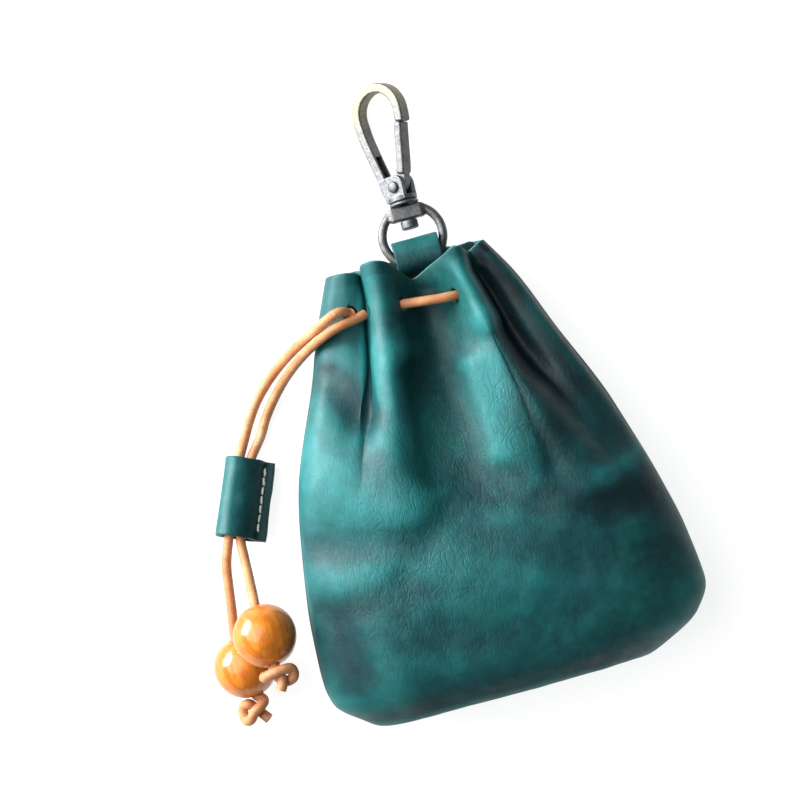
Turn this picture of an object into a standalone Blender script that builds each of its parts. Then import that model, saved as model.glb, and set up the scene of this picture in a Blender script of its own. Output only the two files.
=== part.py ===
"""Leather drawstring dice bag with a swivel snap hook, lying on its back.

Metres, +Z up. The bag's base is towards -Y and the hook towards +Y. The origin is on the
flat back, on the bag's centre line, so z = 0 is the surface that the bag lies on.
Sizes below are in millimetres and go through mm() or MM once.
"""
import math

import bmesh
import bpy
import numpy as np
from mathutils import Matrix, Vector

MM = 0.001

# Driving dimensions, millimetres
LEATHER = 1.5
SEAM_GAP = 0.3
TOUCH_GAP = 0.3
CORD_DIAMETER = 2.8
CORD_POINTS = 36
LOOP_POINTS = 46
HOLE_RADIUS = 2.1
HOLE_DEPTH = 5.0
THREAD_RADIUS = 0.35
BASE_Y = -47.5
TIE_Y = 65.0            # height of the drawstring, where the pleated section is given
LIP_Y = 69.0            # above this the section goes over into the rim's own shape
PLEAT_START_Y = -14.0
PLEAT_FULL_Y = 60.0
SEAM_Z = 13.0           # height of the side seams at the neck
FRONT_COLUMNS = 46
BACK_COLUMNS = 36
ROWS = 19
SECTION_COLUMNS = 120
BEAD_RADIUS = 9.0
BEAD_BORE = 1.9
BEAD_FLAT = 8.55        # half length of a bead along its bore
KNOT_OFFSET = 0.8       # how far the cord reaches past the bead, into its knot
KNOT_SIZE = (3.4, 2.9, 3.1)
TAB_X = (-5.7, 7.7)
TAB_BACK_Z = 6.9         # middle of the tab's back ply
TAB_AXIS = (1.0, 70.0, 7.8)
RING_PIVOT = (1.0, 76.3, 10.4)
RING_SLOPE = -4.2       # degrees, the ring and hook run slightly downhill to the hook's tip
RING_RADIUS = 8.7
RING_WIRE = 1.3
BOSS_INNER = 13.6
BOSS_OUTER = 17.6
PIN_RADIUS = 1.25
PIN_BORE = 1.55
HOOK_ROLL = -38.0       # degrees, the gate's side is turned up
HOOK_BASE = 19.1
GATE_PIVOT = (0.1, 23.4)
LOOP_CENTRE = 45.3
BAR_HALF = (1.4, 2.1)   # half of the hook bar's size in the hook's plane and across it
LOOP_RADIUS = 7.5
SLIDER_CORNER = (-68.2, 37.0, 0.0)
SLIDER_HEADING = 21.4   # degrees between the slider's length and -Y
SLIDER_RISE = 11.0      # degrees, its lower end is lifted off the table by the cords
SLIDER_LENGTH = 23.0

# Bag stations from the middle of the base to the rim:
# y, centre x, half width, front depth, back depth, height of the side seam
STATIONS = [
    (BASE_Y, -4.5, 34.0, 0.0, 0.0, 16.0),
    (BASE_Y, -4.5, 38.5, 9.0, 10.0, 16.0),
    (-44.0, -2.9, 46.0, 13.4, 14.6, 16.3),
    (-37.9, -1.6, 53.6, 16.6, 17.2, 17.0),
    (-30.0, -0.35, 56.1, 18.4, 18.2, 17.5),
    (-15.0, -0.8, 55.0, 19.8, 18.3, 17.5),
    (0.0, -1.4, 52.4, 19.6, 18.3, 17.5),
    (25.0, -2.4, 46.2, 17.5, 17.5, 17.2),
    (50.0, -2.35, 36.0, 14.5, 12.5, 15.2),
    (TIE_Y, -2.45, 30.35, 12.5, 10.0, SEAM_Z),
    (79.0, -3.0, 23.35, 11.5, 9.5, SEAM_Z),
]

# Pleated section at the drawstring, left seam to right seam: x, z
FRONT_NECK = [
    (-32.8, 13.0), (-32.1, 18.0), (-29.5, 22.0), (-25.0, 24.0), (-20.2, 22.0),
    (-17.7, 17.6), (-17.1, 22.5), (-15.9, 26.6), (-12.6, 28.6), (-8.8, 27.2),
    (-5.5, 22.2), (-1.2, 18.6), (3.2, 19.8), (7.2, 23.6), (11.0, 28.0),
    (14.5, 27.4), (16.1, 22.8), (17.4, 16.8), (21.6, 19.0), (26.0, 18.6), (27.9, 13.0)]
BACK_NECK = [
    (-32.8, 13.0), (-31.8, 8.5), (-28.0, 5.0), (-23.5, 4.2), (-19.6, 5.8), (-17.0, 9.8),
    (-13.7, 11.2), (-11.4, 8.2), (-9.4, 4.7), (0.0, 3.6), (9.8, 4.3), (12.0, 6.9),
    (14.0, 8.8), (17.2, 8.2), (19.7, 5.4), (23.2, 4.8), (26.6, 8.0), (27.9, 13.0)]
# The rim, with one point for each point of the section below it: x, y, z
FRONT_RIM = [
    (-26.4, 79.2, 13.0), (-25.9, 79.3, 17.8), (-24.2, 79.2, 21.8), (-20.8, 78.8, 23.8),
    (-17.7, 78.0, 22.0), (-16.4, 77.6, 18.4), (-16.0, 79.0, 22.8), (-15.0, 79.8, 26.6),
    (-12.0, 79.7, 28.8), (-8.3, 78.6, 27.4), (-5.4, 75.6, 22.6), (-2.2, 72.6, 18.8),
    (2.5, 74.6, 20.4), (6.6, 76.3, 24.2), (10.2, 77.8, 28.0), (12.9, 77.4, 27.2),
    (14.0, 76.4, 22.8), (15.0, 76.2, 17.6), (17.6, 77.4, 19.0), (19.6, 78.3, 17.6),
    (20.3, 78.5, 13.0)]
BACK_RIM = [
    (-26.4, 79.2, 13.0), (-25.8, 79.3, 9.0), (-23.0, 79.4, 5.6), (-19.6, 79.4, 4.8),
    (-16.8, 79.3, 6.4), (-14.8, 78.5, 9.8), (-12.3, 78.2, 10.9), (-10.7, 78.6, 8.2),
    (-9.0, 79.3, 4.7), (0.0, 79.5, 3.8), (9.4, 79.6, 4.6), (11.2, 79.3, 7.0),
    (12.8, 79.0, 8.4), (14.4, 79.0, 8.2), (16.2, 79.0, 6.2), (18.2, 79.0, 6.2),
    (19.8, 78.8, 9.0), (20.3, 78.5, 13.0)]

# Cord routes, millimetres
LOOP_ROUTE = [
    (-21.9, 67.7, 22.9), (-22.3, 67.4, 19.4), (-22.7, 67.1, 15.2), (-22.3, 66.6, 11.6),
    (-20.4, 66.1, 9.1), (-17.6, 65.9, 7.7), (-14.2, 65.7, 7.2), (-11.2, 65.6, 7.3),
    (-8.4, 65.5, 7.9), (-4.0, 65.4, 8.2), (2.0, 65.3, 8.2), (7.5, 65.2, 7.9),
    (10.8, 65.1, 6.8), (13.4, 65.0, 5.8), (16.2, 65.0, 5.6), (18.8, 65.0, 6.6),
    (21.6, 64.9, 9.0), (22.9, 64.8, 11.8), (21.6, 64.8, 13.8), (18.6, 64.7, 13.6),
    (15.2, 64.7, 13.8), (12.6, 64.7, 16.4), (11.5, 64.8, 19.6), (9.8, 64.8, 22.2),
    (7.0, 64.9, 23.9), (3.5, 65.1, 24.6), (-1.0, 65.6, 24.4), (-5.0, 66.1, 23.6),
    (-8.6, 66.4, 23.0), (-12.2, 66.4, 23.0), (-14.8, 66.4, 23.4)]
OUTER_ROUTE = [
    (-22.5, 67.9, 25.2), (-23.9, 68.4, 26.6), (-26.3, 68.3, 27.4), (-31.0, 66.4, 24.8),
    (-36.0, 64.2, 17.6), (-41.0, 61.8, 10.6), (-46.0, 58.8, 5.4), (-51.0, 54.9, 2.4),
    (-55.6, 50.1, 1.6), (-58.9, 45.2, 1.7), (-61.5, 40.6, 2.5)]
INNER_ROUTE = [
    (-18.0, 66.3, 24.3), (-20.5, 65.6, 25.5), (-26.0, 64.7, 26.9), (-31.0, 63.1, 25.0),
    (-36.0, 60.9, 19.6), (-41.0, 58.0, 12.0), (-46.0, 54.2, 5.2), (-50.6, 49.4, 2.4),
    (-53.8, 45.2, 1.7), (-56.4, 40.8, 2.1)]
# Where the two cords lie across the slider's opening: at its upper and at its lower end
SLIDER_OUTER = ((4.3, 3.2), (4.0, 3.4))
SLIDER_INNER = ((7.5, 3.1), (7.4, 3.0))
OUTER_BEAD = (-77.3, -22.0, BEAD_RADIUS)
INNER_BEAD = (-68.6, -13.7, 22.9)
OUTER_BEAD_AXIS = (0.09, -0.99, 0.0)
INNER_BEAD_AXIS = (0.07, -0.95, 0.24)
OUTER_DROP = [(-75.0, 8.0, 8.2), (-76.0, 2.0, 8.7), (-76.9, -5.0, 9.0)]
INNER_DROP = [(-69.5, 8.4, 10.0), (-69.4, 3.4, 13.6), (-69.3, -1.6, 17.6)]


def clear_scene():
    for obj in list(bpy.data.objects):
        bpy.data.objects.remove(obj, do_unlink=True)


def material(name, colour, roughness, metallic=0.0):
    found = bpy.data.materials.get(name)
    if found:
        return found
    new = bpy.data.materials.new(name)
    new.use_nodes = True
    shader = new.node_tree.nodes["Principled BSDF"]
    shader.inputs["Base Color"].default_value = (*colour, 1.0)
    shader.inputs["Roughness"].default_value = roughness
    shader.inputs["Metallic"].default_value = metallic
    new.diffuse_color = (*colour, 1.0)
    return new


def leather():
    return material("leather", (0.015, 0.155, 0.145), 0.42)


def cord_leather():
    return material("cord", (0.62, 0.24, 0.08), 0.6)


def thread():
    return material("thread", (0.75, 0.74, 0.66), 0.7)


def wood():
    return material("bead_wood", (0.72, 0.26, 0.04), 0.25)


def metal():
    return material("antique_metal", (0.36, 0.35, 0.30), 0.32, 1.0)


def mm(values):
    return Vector(values) * MM


def add_object(name, data, surface, parent=None):
    obj = bpy.data.objects.new(name, data)
    bpy.context.scene.collection.objects.link(obj)
    if surface:
        data.materials.append(surface)
    if parent:
        obj.parent = parent
    return obj


def mesh_object(name, points, faces, surface, parent=None, smooth=True):
    """An object from points in millimetres, with its faces turned outwards."""
    mesh = bpy.data.meshes.new(name)
    bm = bmesh.new()
    verts = [bm.verts.new(mm(p)) for p in points]
    for face in faces:
        bm.faces.new([verts[i] for i in face])
    bmesh.ops.recalc_face_normals(bm, faces=bm.faces)
    bm.to_mesh(mesh)
    bm.free()
    if smooth:
        mesh.shade_smooth()
        mesh.set_sharp_from_angle(angle=math.radians(40))
    return add_object(name, mesh, surface, parent)


def empty(name, location, rotation=(0.0, 0.0, 0.0), parent=None):
    obj = bpy.data.objects.new(name, None)
    bpy.context.scene.collection.objects.link(obj)
    obj.location = mm(location)
    obj.rotation_euler = [math.radians(a) for a in rotation]
    obj.parent = parent
    return obj


def hang_on(obj, axis):
    """Parent an object to an unturned empty on its joint's axis, leaving it where it is."""
    obj.parent = axis
    obj.matrix_parent_inverse = Matrix.Translation(-axis.location)


def boolean(obj, cutter, operation="DIFFERENCE"):
    """Cut with, or join on, a hidden guide object."""
    cutter.hide_render = True
    cutter.display_type = "WIRE"
    modifier = obj.modifiers.new(cutter.name, "BOOLEAN")
    modifier.object = cutter
    modifier.operation = operation
    modifier.solver = "EXACT"


def monotone(xs, ys, x):
    """Smooth interpolation that never overshoots its stations."""
    xs, ys = np.asarray(xs, float), np.asarray(ys, float)
    slopes = np.diff(ys) / np.diff(xs)
    tangents = np.zeros_like(ys)
    for i in range(1, len(xs) - 1):
        if slopes[i - 1] * slopes[i] > 0:
            tangents[i] = 2 * slopes[i - 1] * slopes[i] / (slopes[i - 1] + slopes[i])
    tangents[0], tangents[-1] = slopes[0], slopes[-1]
    i = int(np.clip(np.searchsorted(xs, x) - 1, 0, len(xs) - 2))
    h = xs[i + 1] - xs[i]
    s = (x - xs[i]) / h
    return ((1 + 2 * s) * (1 - s) ** 2 * ys[i] + s * (1 - s) ** 2 * h * tangents[i]
            + s * s * (3 - 2 * s) * ys[i + 1] + s * s * (s - 1) * h * tangents[i + 1])


def smooth_route(points, steps):
    """Catmull-Rom curve through the points, with steps spans between each pair."""
    p = [np.asarray(q, float) for q in points]
    p = [2 * p[0] - p[1]] + p + [2 * p[-1] - p[-2]]
    out = []
    for i in range(1, len(p) - 2):
        for k in range(steps):
            s = k / steps
            out.append(0.5 * (2 * p[i] + (p[i + 1] - p[i - 1]) * s
                              + (2 * p[i - 1] - 5 * p[i] + 4 * p[i + 1] - p[i + 2]) * s ** 2
                              + (3 * p[i] - p[i - 1] - 3 * p[i + 1] + p[i + 2]) * s ** 3))
    return np.array(out + [p[-2]])


def even(points, count=None, spacing=None):
    """The same curve, resampled at equal distances."""
    points = np.asarray(points, float)
    run = np.concatenate([[0.0], np.cumsum(np.linalg.norm(np.diff(points, axis=0), axis=1))])
    count = count or max(2, int(round(run[-1] / spacing)) + 1)
    at = np.linspace(0.0, run[-1], count)
    return np.stack([np.interp(at, run, points[:, k]) for k in range(points.shape[1])], axis=1)


# ---------------------------------------------------------------- bag panels

def station(run):
    """Bag values at a running number along STATIONS, 0 at the base's middle."""
    marks = range(len(STATIONS))
    return [monotone(marks, [row[k] for row in STATIONS], run) for k in range(6)]


def station_at(y):
    """The running number whose station lies at height y, above the base face."""
    low, high = 1.0, len(STATIONS) - 1.0
    for _ in range(40):
        mid = 0.5 * (low + high)
        low, high = (mid, high) if station(mid)[0] < y else (low, mid)
    return low


def smoothstep(x):
    x = min(1.0, max(0.0, x))
    return x * x * (3 - 2 * x)


def pillow(centre, half, depth, seam_z, sign, columns):
    """Half of a rounded flat oval from the left seam to the right seam, evenly spaced."""
    angles = np.linspace(0.0, math.pi, 181)
    fullness = 2 / 2.5
    x = centre - half * np.sign(np.cos(angles)) * np.abs(np.cos(angles)) ** fullness
    z = seam_z + sign * depth * np.abs(np.sin(angles)) ** fullness
    return even(np.stack([x, z], axis=1), count=columns)


def panel_points(sign, columns, rows=ROWS):
    """Outer surface of one panel as rows of points from the base's middle to the rim."""
    neck_list, rim_list = (FRONT_NECK, FRONT_RIM) if sign > 0 else (BACK_NECK, BACK_RIM)
    neck = even(smooth_route(neck_list, 8), count=columns)
    rim = even(smooth_route(rim_list, 8), count=columns)
    tie = station(station_at(TIE_Y))
    depth_at = 3 if sign > 0 else 4
    runs = list(np.linspace(0.0, 1.0, 4)) + list(np.linspace(1.0, 3.0, 6))[1:]
    runs += [station_at(y) for y in np.linspace(-30.0, LIP_Y, rows - len(runs) - 2)]
    grid = []
    for run in runs:
        y, centre, half, front, back, seam_z = station(run)
        depth = (front, back)[sign < 0]
        low = pillow(centre, half, max(depth, 0.0), seam_z, sign, columns)
        share = smoothstep((y - PLEAT_START_Y) / (PLEAT_FULL_Y - PLEAT_START_Y))
        wide, deep = half / tie[2], depth / tie[depth_at]
        high = np.stack([centre + (neck[:, 0] - tie[1]) * wide,
                         seam_z + (neck[:, 1] - SEAM_Z) * deep], axis=1)
        flat = low * (1 - share) + high * share
        grid.append([(x, y, max(z + sign * SEAM_GAP / 2, 0.0)) for x, z in flat])
    top = np.array(grid[-1])
    rim = rim + np.array([0.0, 0.0, sign * SEAM_GAP / 2])
    for share in (0.5, 1.0):
        grid.append([tuple(p) for p in top * (1 - share) + rim * share])
    return np.array(grid)


def inward(points, sign):
    """The same surface moved in by the leather's thickness."""
    across = np.gradient(points, axis=1)
    along = np.gradient(points, axis=0)
    normal = np.cross(across, along) * sign
    normal[0] = (0.0, -1.0, 0.0)
    normal /= np.linalg.norm(normal, axis=2, keepdims=True)
    normal[:, (0, -1), 2] = 0.0
    normal /= np.linalg.norm(normal, axis=2, keepdims=True)
    return points - LEATHER * normal


def panel(name, sign, columns):
    outer = panel_points(sign, columns)
    inner = inward(outer, sign)
    rows = outer.shape[0]
    count = rows * columns

    def index(layer, row, column):
        return layer * count + row * columns + column

    faces = []
    for row in range(rows - 1):
        for column in range(columns - 1):
            for layer in (0, 1):
                quad = [index(layer, row, column), index(layer, row, column + 1),
                        index(layer, row + 1, column + 1), index(layer, row + 1, column)]
                faces.append(quad if layer == 0 else quad[::-1])
    for column in range(columns - 1):
        for row in (0, rows - 1):
            faces.append([index(0, row, column), index(0, row, column + 1),
                          index(1, row, column + 1), index(1, row, column)])
    for row in range(rows - 1):
        for column in (0, columns - 1):
            faces.append([index(0, row, column), index(0, row + 1, column),
                          index(1, row + 1, column), index(1, row, column)])
    points = np.concatenate([outer.reshape(-1, 3), inner.reshape(-1, 3)])
    return mesh_object(name, points, faces, leather())


def wall_line():
    """Middle of the leather all round the bag at the drawstring, as x and z."""
    line = []
    for sign in (1, -1):
        grid = panel_points(sign, SECTION_COLUMNS)
        middle = 0.5 * (grid + inward(grid, sign))
        row = int(np.argmin(np.abs(middle[:, SECTION_COLUMNS // 2, 1] - TIE_Y)))
        line += list(middle[row][::sign][:, (0, 2)])
    return np.array(line)


def is_inside(line, x, z):
    """Whether a point is inside a closed line, by counting crossings."""
    crossings = 0
    for (x1, z1), (x2, z2) in zip(line, np.roll(line, -1, axis=0)):
        if (z1 > z) != (z2 > z) and x < x1 + (z - z1) / (z2 - z1) * (x2 - x1):
            crossings += 1
    return crossings % 2 == 1


def hole_punches():
    """One hidden cutter with a round bar wherever the drawstring goes through the leather."""
    line = wall_line()
    whole = [OUTER_ROUTE[0]] + LOOP_ROUTE + [INNER_ROUTE[0]]
    route = even(smooth_route(whole, 8), spacing=0.2)
    inside = [is_inside(line, x, z) for x, _, z in route]
    bm = bmesh.new()
    for i in range(1, len(route)):
        if inside[i] == inside[i - 1]:
            continue
        ahead, behind = route[min(i + 4, len(route) - 1)], route[max(i - 4, 0)]
        axis = Vector(ahead - behind)
        turn = axis.to_track_quat("Z", "Y").to_matrix().to_4x4()
        bmesh.ops.create_cone(bm, cap_ends=True, segments=14, radius1=HOLE_RADIUS * MM,
                              radius2=HOLE_RADIUS * MM, depth=HOLE_DEPTH * MM,
                              matrix=Matrix.Translation(mm(route[i])) @ turn)
    mesh = bpy.data.meshes.new("hole_punches")
    bm.to_mesh(mesh)
    bm.free()
    return add_object("hole_punches", mesh, None)


# ---------------------------------------------------------------- cords

def tube(name, points, diameter, surface, parent=None, sides=2):
    """A plain round cord along the points, with filled ends."""
    curve = bpy.data.curves.new(name, "CURVE")
    curve.dimensions = "3D"
    curve.bevel_depth = diameter / 2 * MM
    curve.bevel_resolution = sides
    curve.use_fill_caps = True
    spline = curve.splines.new("POLY")
    spline.points.add(len(points) - 1)
    for target, point in zip(spline.points, points):
        target.co = (*mm(point), 1.0)
    return add_object(name, curve, surface, parent)


def cylinder(name, start, end, radius, surface=None, sides=20, parent=None):
    """A round bar between two points."""
    start, end = Vector(start), Vector(end)
    axis = end - start
    turn = axis.to_track_quat("Z", "Y").to_matrix().to_4x4()
    mesh = bpy.data.meshes.new(name)
    bm = bmesh.new()
    bmesh.ops.create_cone(bm, cap_ends=True, segments=sides, radius1=radius * MM,
                          radius2=radius * MM, depth=axis.length * MM,
                          matrix=Matrix.Translation((start + end) / 2 * MM) @ turn)
    bm.to_mesh(mesh)
    bm.free()
    mesh.shade_smooth()
    mesh.set_sharp_from_angle(angle=math.radians(40))
    return add_object(name, mesh, surface, parent)


# ---------------------------------------------------------------- general solids

def strip(name, centreline, thickness, low, high, place, surface, parent=None):
    """A band of even thickness along a flat line, reaching from low to high across it.

    place(a, b, c) gives the point for line values a and b at c across the band.
    """
    line = np.asarray(centreline, float)
    run = np.gradient(line, axis=0)
    run /= np.linalg.norm(run, axis=1, keepdims=True)
    side = np.stack([-run[:, 1], run[:, 0]], axis=1) * thickness / 2
    loop = np.concatenate([line + side, (line - side)[::-1]])
    return prism(name, loop, low, high, place, surface, parent)


def prism(name, outline, low, high, place, surface, parent=None):
    """A closed outline carried straight from low to high."""
    count = len(outline)
    points = [place(a, b, c) for c in (low, high) for a, b in outline]
    faces = [[i, (i + 1) % count, count + (i + 1) % count, count + i] for i in range(count)]
    faces += [list(range(count))[::-1], list(range(count, 2 * count))]
    return mesh_object(name, points, faces, surface, parent)


def in_plane(a, b, c):
    """Outline in X and Y, carried along Z."""
    return (a, b, c)


def arc(centre, radius, start, end, count):
    """Points on an arc, angles in degrees."""
    return [(centre[0] + radius * math.cos(math.radians(a)),
             centre[1] + radius * math.sin(math.radians(a)))
            for a in np.linspace(start, end, count)]


def turned(name, profile, surface, parent=None, segments=24):
    """A closed profile of radius and height, turned about the Z axis."""
    points = [(r * math.cos(a), r * math.sin(a), h)
              for a in np.linspace(0, 2 * math.pi, segments, endpoint=False)
              for r, h in profile]
    count = len(profile)
    faces = []
    for ring in range(segments):
        after = (ring + 1) % segments
        for i in range(count):
            j = (i + 1) % count
            faces.append([ring * count + i, after * count + i, after * count + j,
                          ring * count + j])
    return mesh_object(name, points, faces, surface, parent)


def bar_along(name, path, half, surface, parent=None, corners=12):
    """A rounded bar swept along a path in the XY plane: half sizes in and across the plane."""
    path = np.asarray(path, float)
    run = np.gradient(path, axis=0)
    run /= np.linalg.norm(run, axis=1, keepdims=True)
    angles = np.linspace(0, 2 * math.pi, corners, endpoint=False) + math.pi / corners
    squareness = 0.55
    outline = [(half[0] * np.sign(math.cos(a)) * abs(math.cos(a)) ** squareness,
                half[1] * np.sign(math.sin(a)) * abs(math.sin(a)) ** squareness)
               for a in angles]
    points = [(x - dy * a, y + dx * a, b) for (x, y), (dx, dy) in zip(path, run)
              for a, b in outline]
    faces = [[i * corners + k, i * corners + (k + 1) % corners,
              (i + 1) * corners + (k + 1) % corners, (i + 1) * corners + k]
             for i in range(len(path) - 1) for k in range(corners)]
    last = (len(path) - 1) * corners
    faces += [list(range(corners))[::-1], list(range(last, last + corners))]
    return mesh_object(name, points, faces, surface, parent)


# ---------------------------------------------------------------- bag

def bag():
    punches = hole_punches()
    for name, sign, columns in (("front_panel", 1, FRONT_COLUMNS),
                                ("back_panel", -1, BACK_COLUMNS)):
        boolean(panel(name, sign, columns), punches)


def seam_threads():
    """Threads inside the turned side seams and along the middle of the base."""
    offset = LEATHER + 0.5 + THREAD_RADIUS
    for name, side in (("side_seam_thread_left", -1), ("side_seam_thread_right", 1)):
        points = []
        for y in np.linspace(-37.0, 60.0, 15):
            _, centre, half, _, _, seam_z = station(station_at(y))
            points.append((centre + side * (half - offset), y, seam_z))
        tube(name, even(smooth_route(points, 2), count=26), 2 * THREAD_RADIUS, thread())
    _, centre, half, _, _, seam_z = STATIONS[0]
    reach = half - 2 * offset
    line = [(centre + reach * s, BASE_Y + offset, seam_z) for s in (-1, -0.5, 0, 0.5, 1)]
    tube("base_seam_thread", line, 2 * THREAD_RADIUS, thread())


def hanging_tab():
    """A leather strip folded over the ring, its two ends sewn together inside the mouth."""
    centre_z, fold_y = RING_PIVOT[2] + 0.3, 79.9
    radius = centre_z - TAB_BACK_Z
    front_z = TAB_BACK_Z + LEATHER + TOUCH_GAP
    line = [(69.5, TAB_BACK_Z), (72.5, TAB_BACK_Z), (76.0, TAB_BACK_Z)]
    line += [(y, z) for y, z in arc((fold_y, centre_z), radius, -90, 90, 11)]
    line += [(77.0, centre_z + radius - 0.1), (74.8, 13.0), (73.2, 10.3), (72.0, front_z + 0.1),
             (69.5, front_z)]
    tab = strip("hanging_tab", line, LEATHER, *TAB_X, lambda y, z, x: (x, y, z), leather())
    stitch_z = front_z + LEATHER / 2 + TOUCH_GAP + THREAD_RADIUS
    ends = [(TAB_X[0] + 1.5, 70.6, stitch_z), (TAB_X[1] - 1.5, 70.6, stitch_z)]
    stitching = tube("tab_stitching", even(ends, count=5), 2 * THREAD_RADIUS, thread())
    axis = empty("tab_axis", TAB_AXIS)
    for obj in (tab, stitching):
        hang_on(obj, axis)


# ---------------------------------------------------------------- ring and hook

def ring(parent):
    """Round swivel ring with a flat boss that the swivel pin goes through."""
    angles = np.linspace(0, 2 * math.pi, 33)[:-1]
    path = [(RING_RADIUS * math.sin(a), RING_RADIUS - RING_RADIUS * math.cos(a), 0)
            for a in angles]
    curve = tube("ring_wire", path, 2 * RING_WIRE, metal(), parent, sides=3)
    curve.data.splines[0].use_cyclic_u = True
    bpy.context.view_layer.update()
    wire = bpy.data.meshes.new_from_object(curve)
    bpy.data.objects.remove(curve, do_unlink=True)
    wire.name = "ring"
    body = add_object("ring", wire, None, parent)
    flat = cylinder("ring_top_cut", (0, BOSS_OUTER, 0), (0, BOSS_OUTER + 6, 0), 9, parent=parent)
    boss = [(-5.2, BOSS_INNER), (5.2, BOSS_INNER), (7.6, 15.2), (4.6, BOSS_OUTER),
            (-4.6, BOSS_OUTER), (-7.6, 15.2)]
    block = prism("ring_boss", boss, -1.8, 1.8, in_plane, None, parent)
    bore = cylinder("ring_bore", (0, BOSS_INNER - 2, 0), (0, BOSS_OUTER + 2, 0), PIN_BORE,
                    parent=parent)
    boolean(body, flat)
    boolean(body, block, "UNION")
    boolean(body, bore)
    return body


def swivel(parent):
    """The pin's round head inside the ring, its shank through the boss, and the collar."""
    head = 2.55
    profile = [(0.0, 10.9), (head - 0.4, 10.9), (head, 11.3), (head, 12.9), (head - 0.4, 13.3),
               (PIN_RADIUS, 13.3), (PIN_RADIUS, HOOK_BASE - TOUCH_GAP),
               (0.0, HOOK_BASE - TOUCH_GAP)]
    closed_turned("swivel_pin", profile, metal(), parent)
    inner, outer = PIN_BORE, 4.2
    low, high = BOSS_OUTER + TOUCH_GAP, HOOK_BASE - TOUCH_GAP
    washer = [(inner, low), (outer, low), (outer, high), (inner, high)]
    obj = turned("swivel_collar", washer, metal(), parent)
    obj.rotation_euler[0] = math.radians(-90)


def closed_turned(name, profile, surface, parent, segments=20):
    """A profile that starts and ends on the axis, turned about the parent's Y axis."""
    ring_profile = profile[1:-1]
    count = len(ring_profile)
    points = [(r * math.cos(a), h, -r * math.sin(a))
              for a in np.linspace(0, 2 * math.pi, segments, endpoint=False)
              for r, h in ring_profile]
    faces = []
    for k in range(segments):
        after = (k + 1) % segments
        for i in range(count - 1):
            faces.append([k * count + i, after * count + i, after * count + i + 1,
                          k * count + i + 1])
    faces.append([k * count for k in range(segments)])
    faces.append([k * count + count - 1 for k in range(segments)][::-1])
    return mesh_object(name, points, faces, surface, parent)


def hook_body(parent):
    """The loop bar with its nose, on two cheeks and a round base."""
    arm = [(-3.1, 19.9), (-3.6, 23.0), (-4.35, 26.8), (-5.6, 32.4), (-6.85, 38.4), (-7.4, 43.0)]
    loop = arc((0.0, LOOP_CENTRE), LOOP_RADIUS, 180, 0, 15)
    nose = [(7.4, 43.0), (7.15, 41.1)]
    body = bar_along("hook_body", arm + loop + nose, BAR_HALF, metal(), parent)
    cheek = [(-3.3, HOOK_BASE + 0.4), (3.0, HOOK_BASE + 0.4), (3.3, 24.3), (2.9, 25.8),
             (1.9, 26.6), (-5.0, 26.6)]
    for name, low in (("hook_cheek_front", 1.7), ("hook_cheek_back", -3.0)):
        boolean(body, prism(name, cheek, low, low + 1.3, in_plane, None, parent), "UNION")
    base = cylinder("hook_base", (0, HOOK_BASE, 0), (0, HOOK_BASE + 1.2, 0), 4.1, parent=parent)
    boolean(body, base, "UNION")
    u, v = GATE_PIVOT
    boolean(body, cylinder("hook_rivet_bore", (u, v, -5), (u, v, 5), 1.35, parent=parent))
    groove = [(-4.3, 24.8), (-1.6, 24.8), (-2.4, 27.4), (-4.0, 33.9), (-6.0, 33.9)]
    boolean(body, prism("hook_groove", groove, -1.45, 1.45, in_plane, None, parent))
    room = cylinder("hook_gate_room", (u, v, -1.6), (u, v, 1.6), 2.75, parent=parent)
    boolean(body, room)
    return body


def gate(parent):
    """The sprung lever, in its own frame on the rivet."""
    u, v = GATE_PIVOT
    lever = [(2.9, 27.0), (3.65, 29.3), (4.8, 34.2), (6.35, 40.5)]
    lever = [(x - u, y - v) for x, y in lever]
    body = bar_along("gate", lever, (1.2, 2.1), metal(), parent)
    lug = arc((0.0, 0.0), 2.4, 150, 330, 11) + [(3.4, 0.6), (4.0, 4.6), (2.0, 5.4)]
    boolean(body, prism("gate_lug", lug, -1.35, 1.35, in_plane, None, parent), "UNION")
    boolean(body, cylinder("gate_bore", (0, 0, -4), (0, 0, 4), 1.3, parent=parent))
    return body


def gate_pin(parent):
    u, v = GATE_PIVOT
    pin = cylinder("gate_pin", (u, v, -3.9), (u, v, 3.9), 1.0, metal(), 16, parent)
    for name, low in (("gate_pin_head_front", 3.3), ("gate_pin_head_back", -4.0)):
        head = cylinder(name, (u, v, low), (u, v, low + 0.7), 1.7, sides=16, parent=parent)
        boolean(pin, head, "UNION")
    return pin


def gate_spring(parent):
    """A leaf in the groove of the hook's arm that presses on the gate's lug."""
    leaf = [(-5.0, 33.2), (-4.35, 30.6), (-3.6, 27.9), (-2.75, 26.4), (-2.2, 25.75)]
    strip("gate_spring", leaf, 0.4, -1.1, 1.1, in_plane, metal(), parent)


def hook_group():
    link = empty("ring_axis", RING_PIVOT, (RING_SLOPE, 0, 0))
    ring(link)
    turn = empty("hook_axis", (0, 0, 0), (0, HOOK_ROLL, 0), link)
    swivel(turn)
    hook_body(turn)
    gate_pin(turn)
    gate_spring(turn)
    gate(empty("gate_axis", (*GATE_PIVOT, 0), (0, 0, 0), turn))


# ---------------------------------------------------------------- drawstring and its pieces

def in_slider(across, down, up):
    """A point given across the slider, down its length and up from its flat side."""
    heading, rise = math.radians(SLIDER_HEADING), math.radians(SLIDER_RISE)
    side = Vector((math.cos(heading), -math.sin(heading), 0.0))
    length = Vector((-math.sin(heading) * math.cos(rise), -math.cos(heading) * math.cos(rise),
                     math.sin(rise)))
    top = length.cross(side)
    return tuple(Vector(SLIDER_CORNER) + side * across + length * down + top * up)


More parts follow.
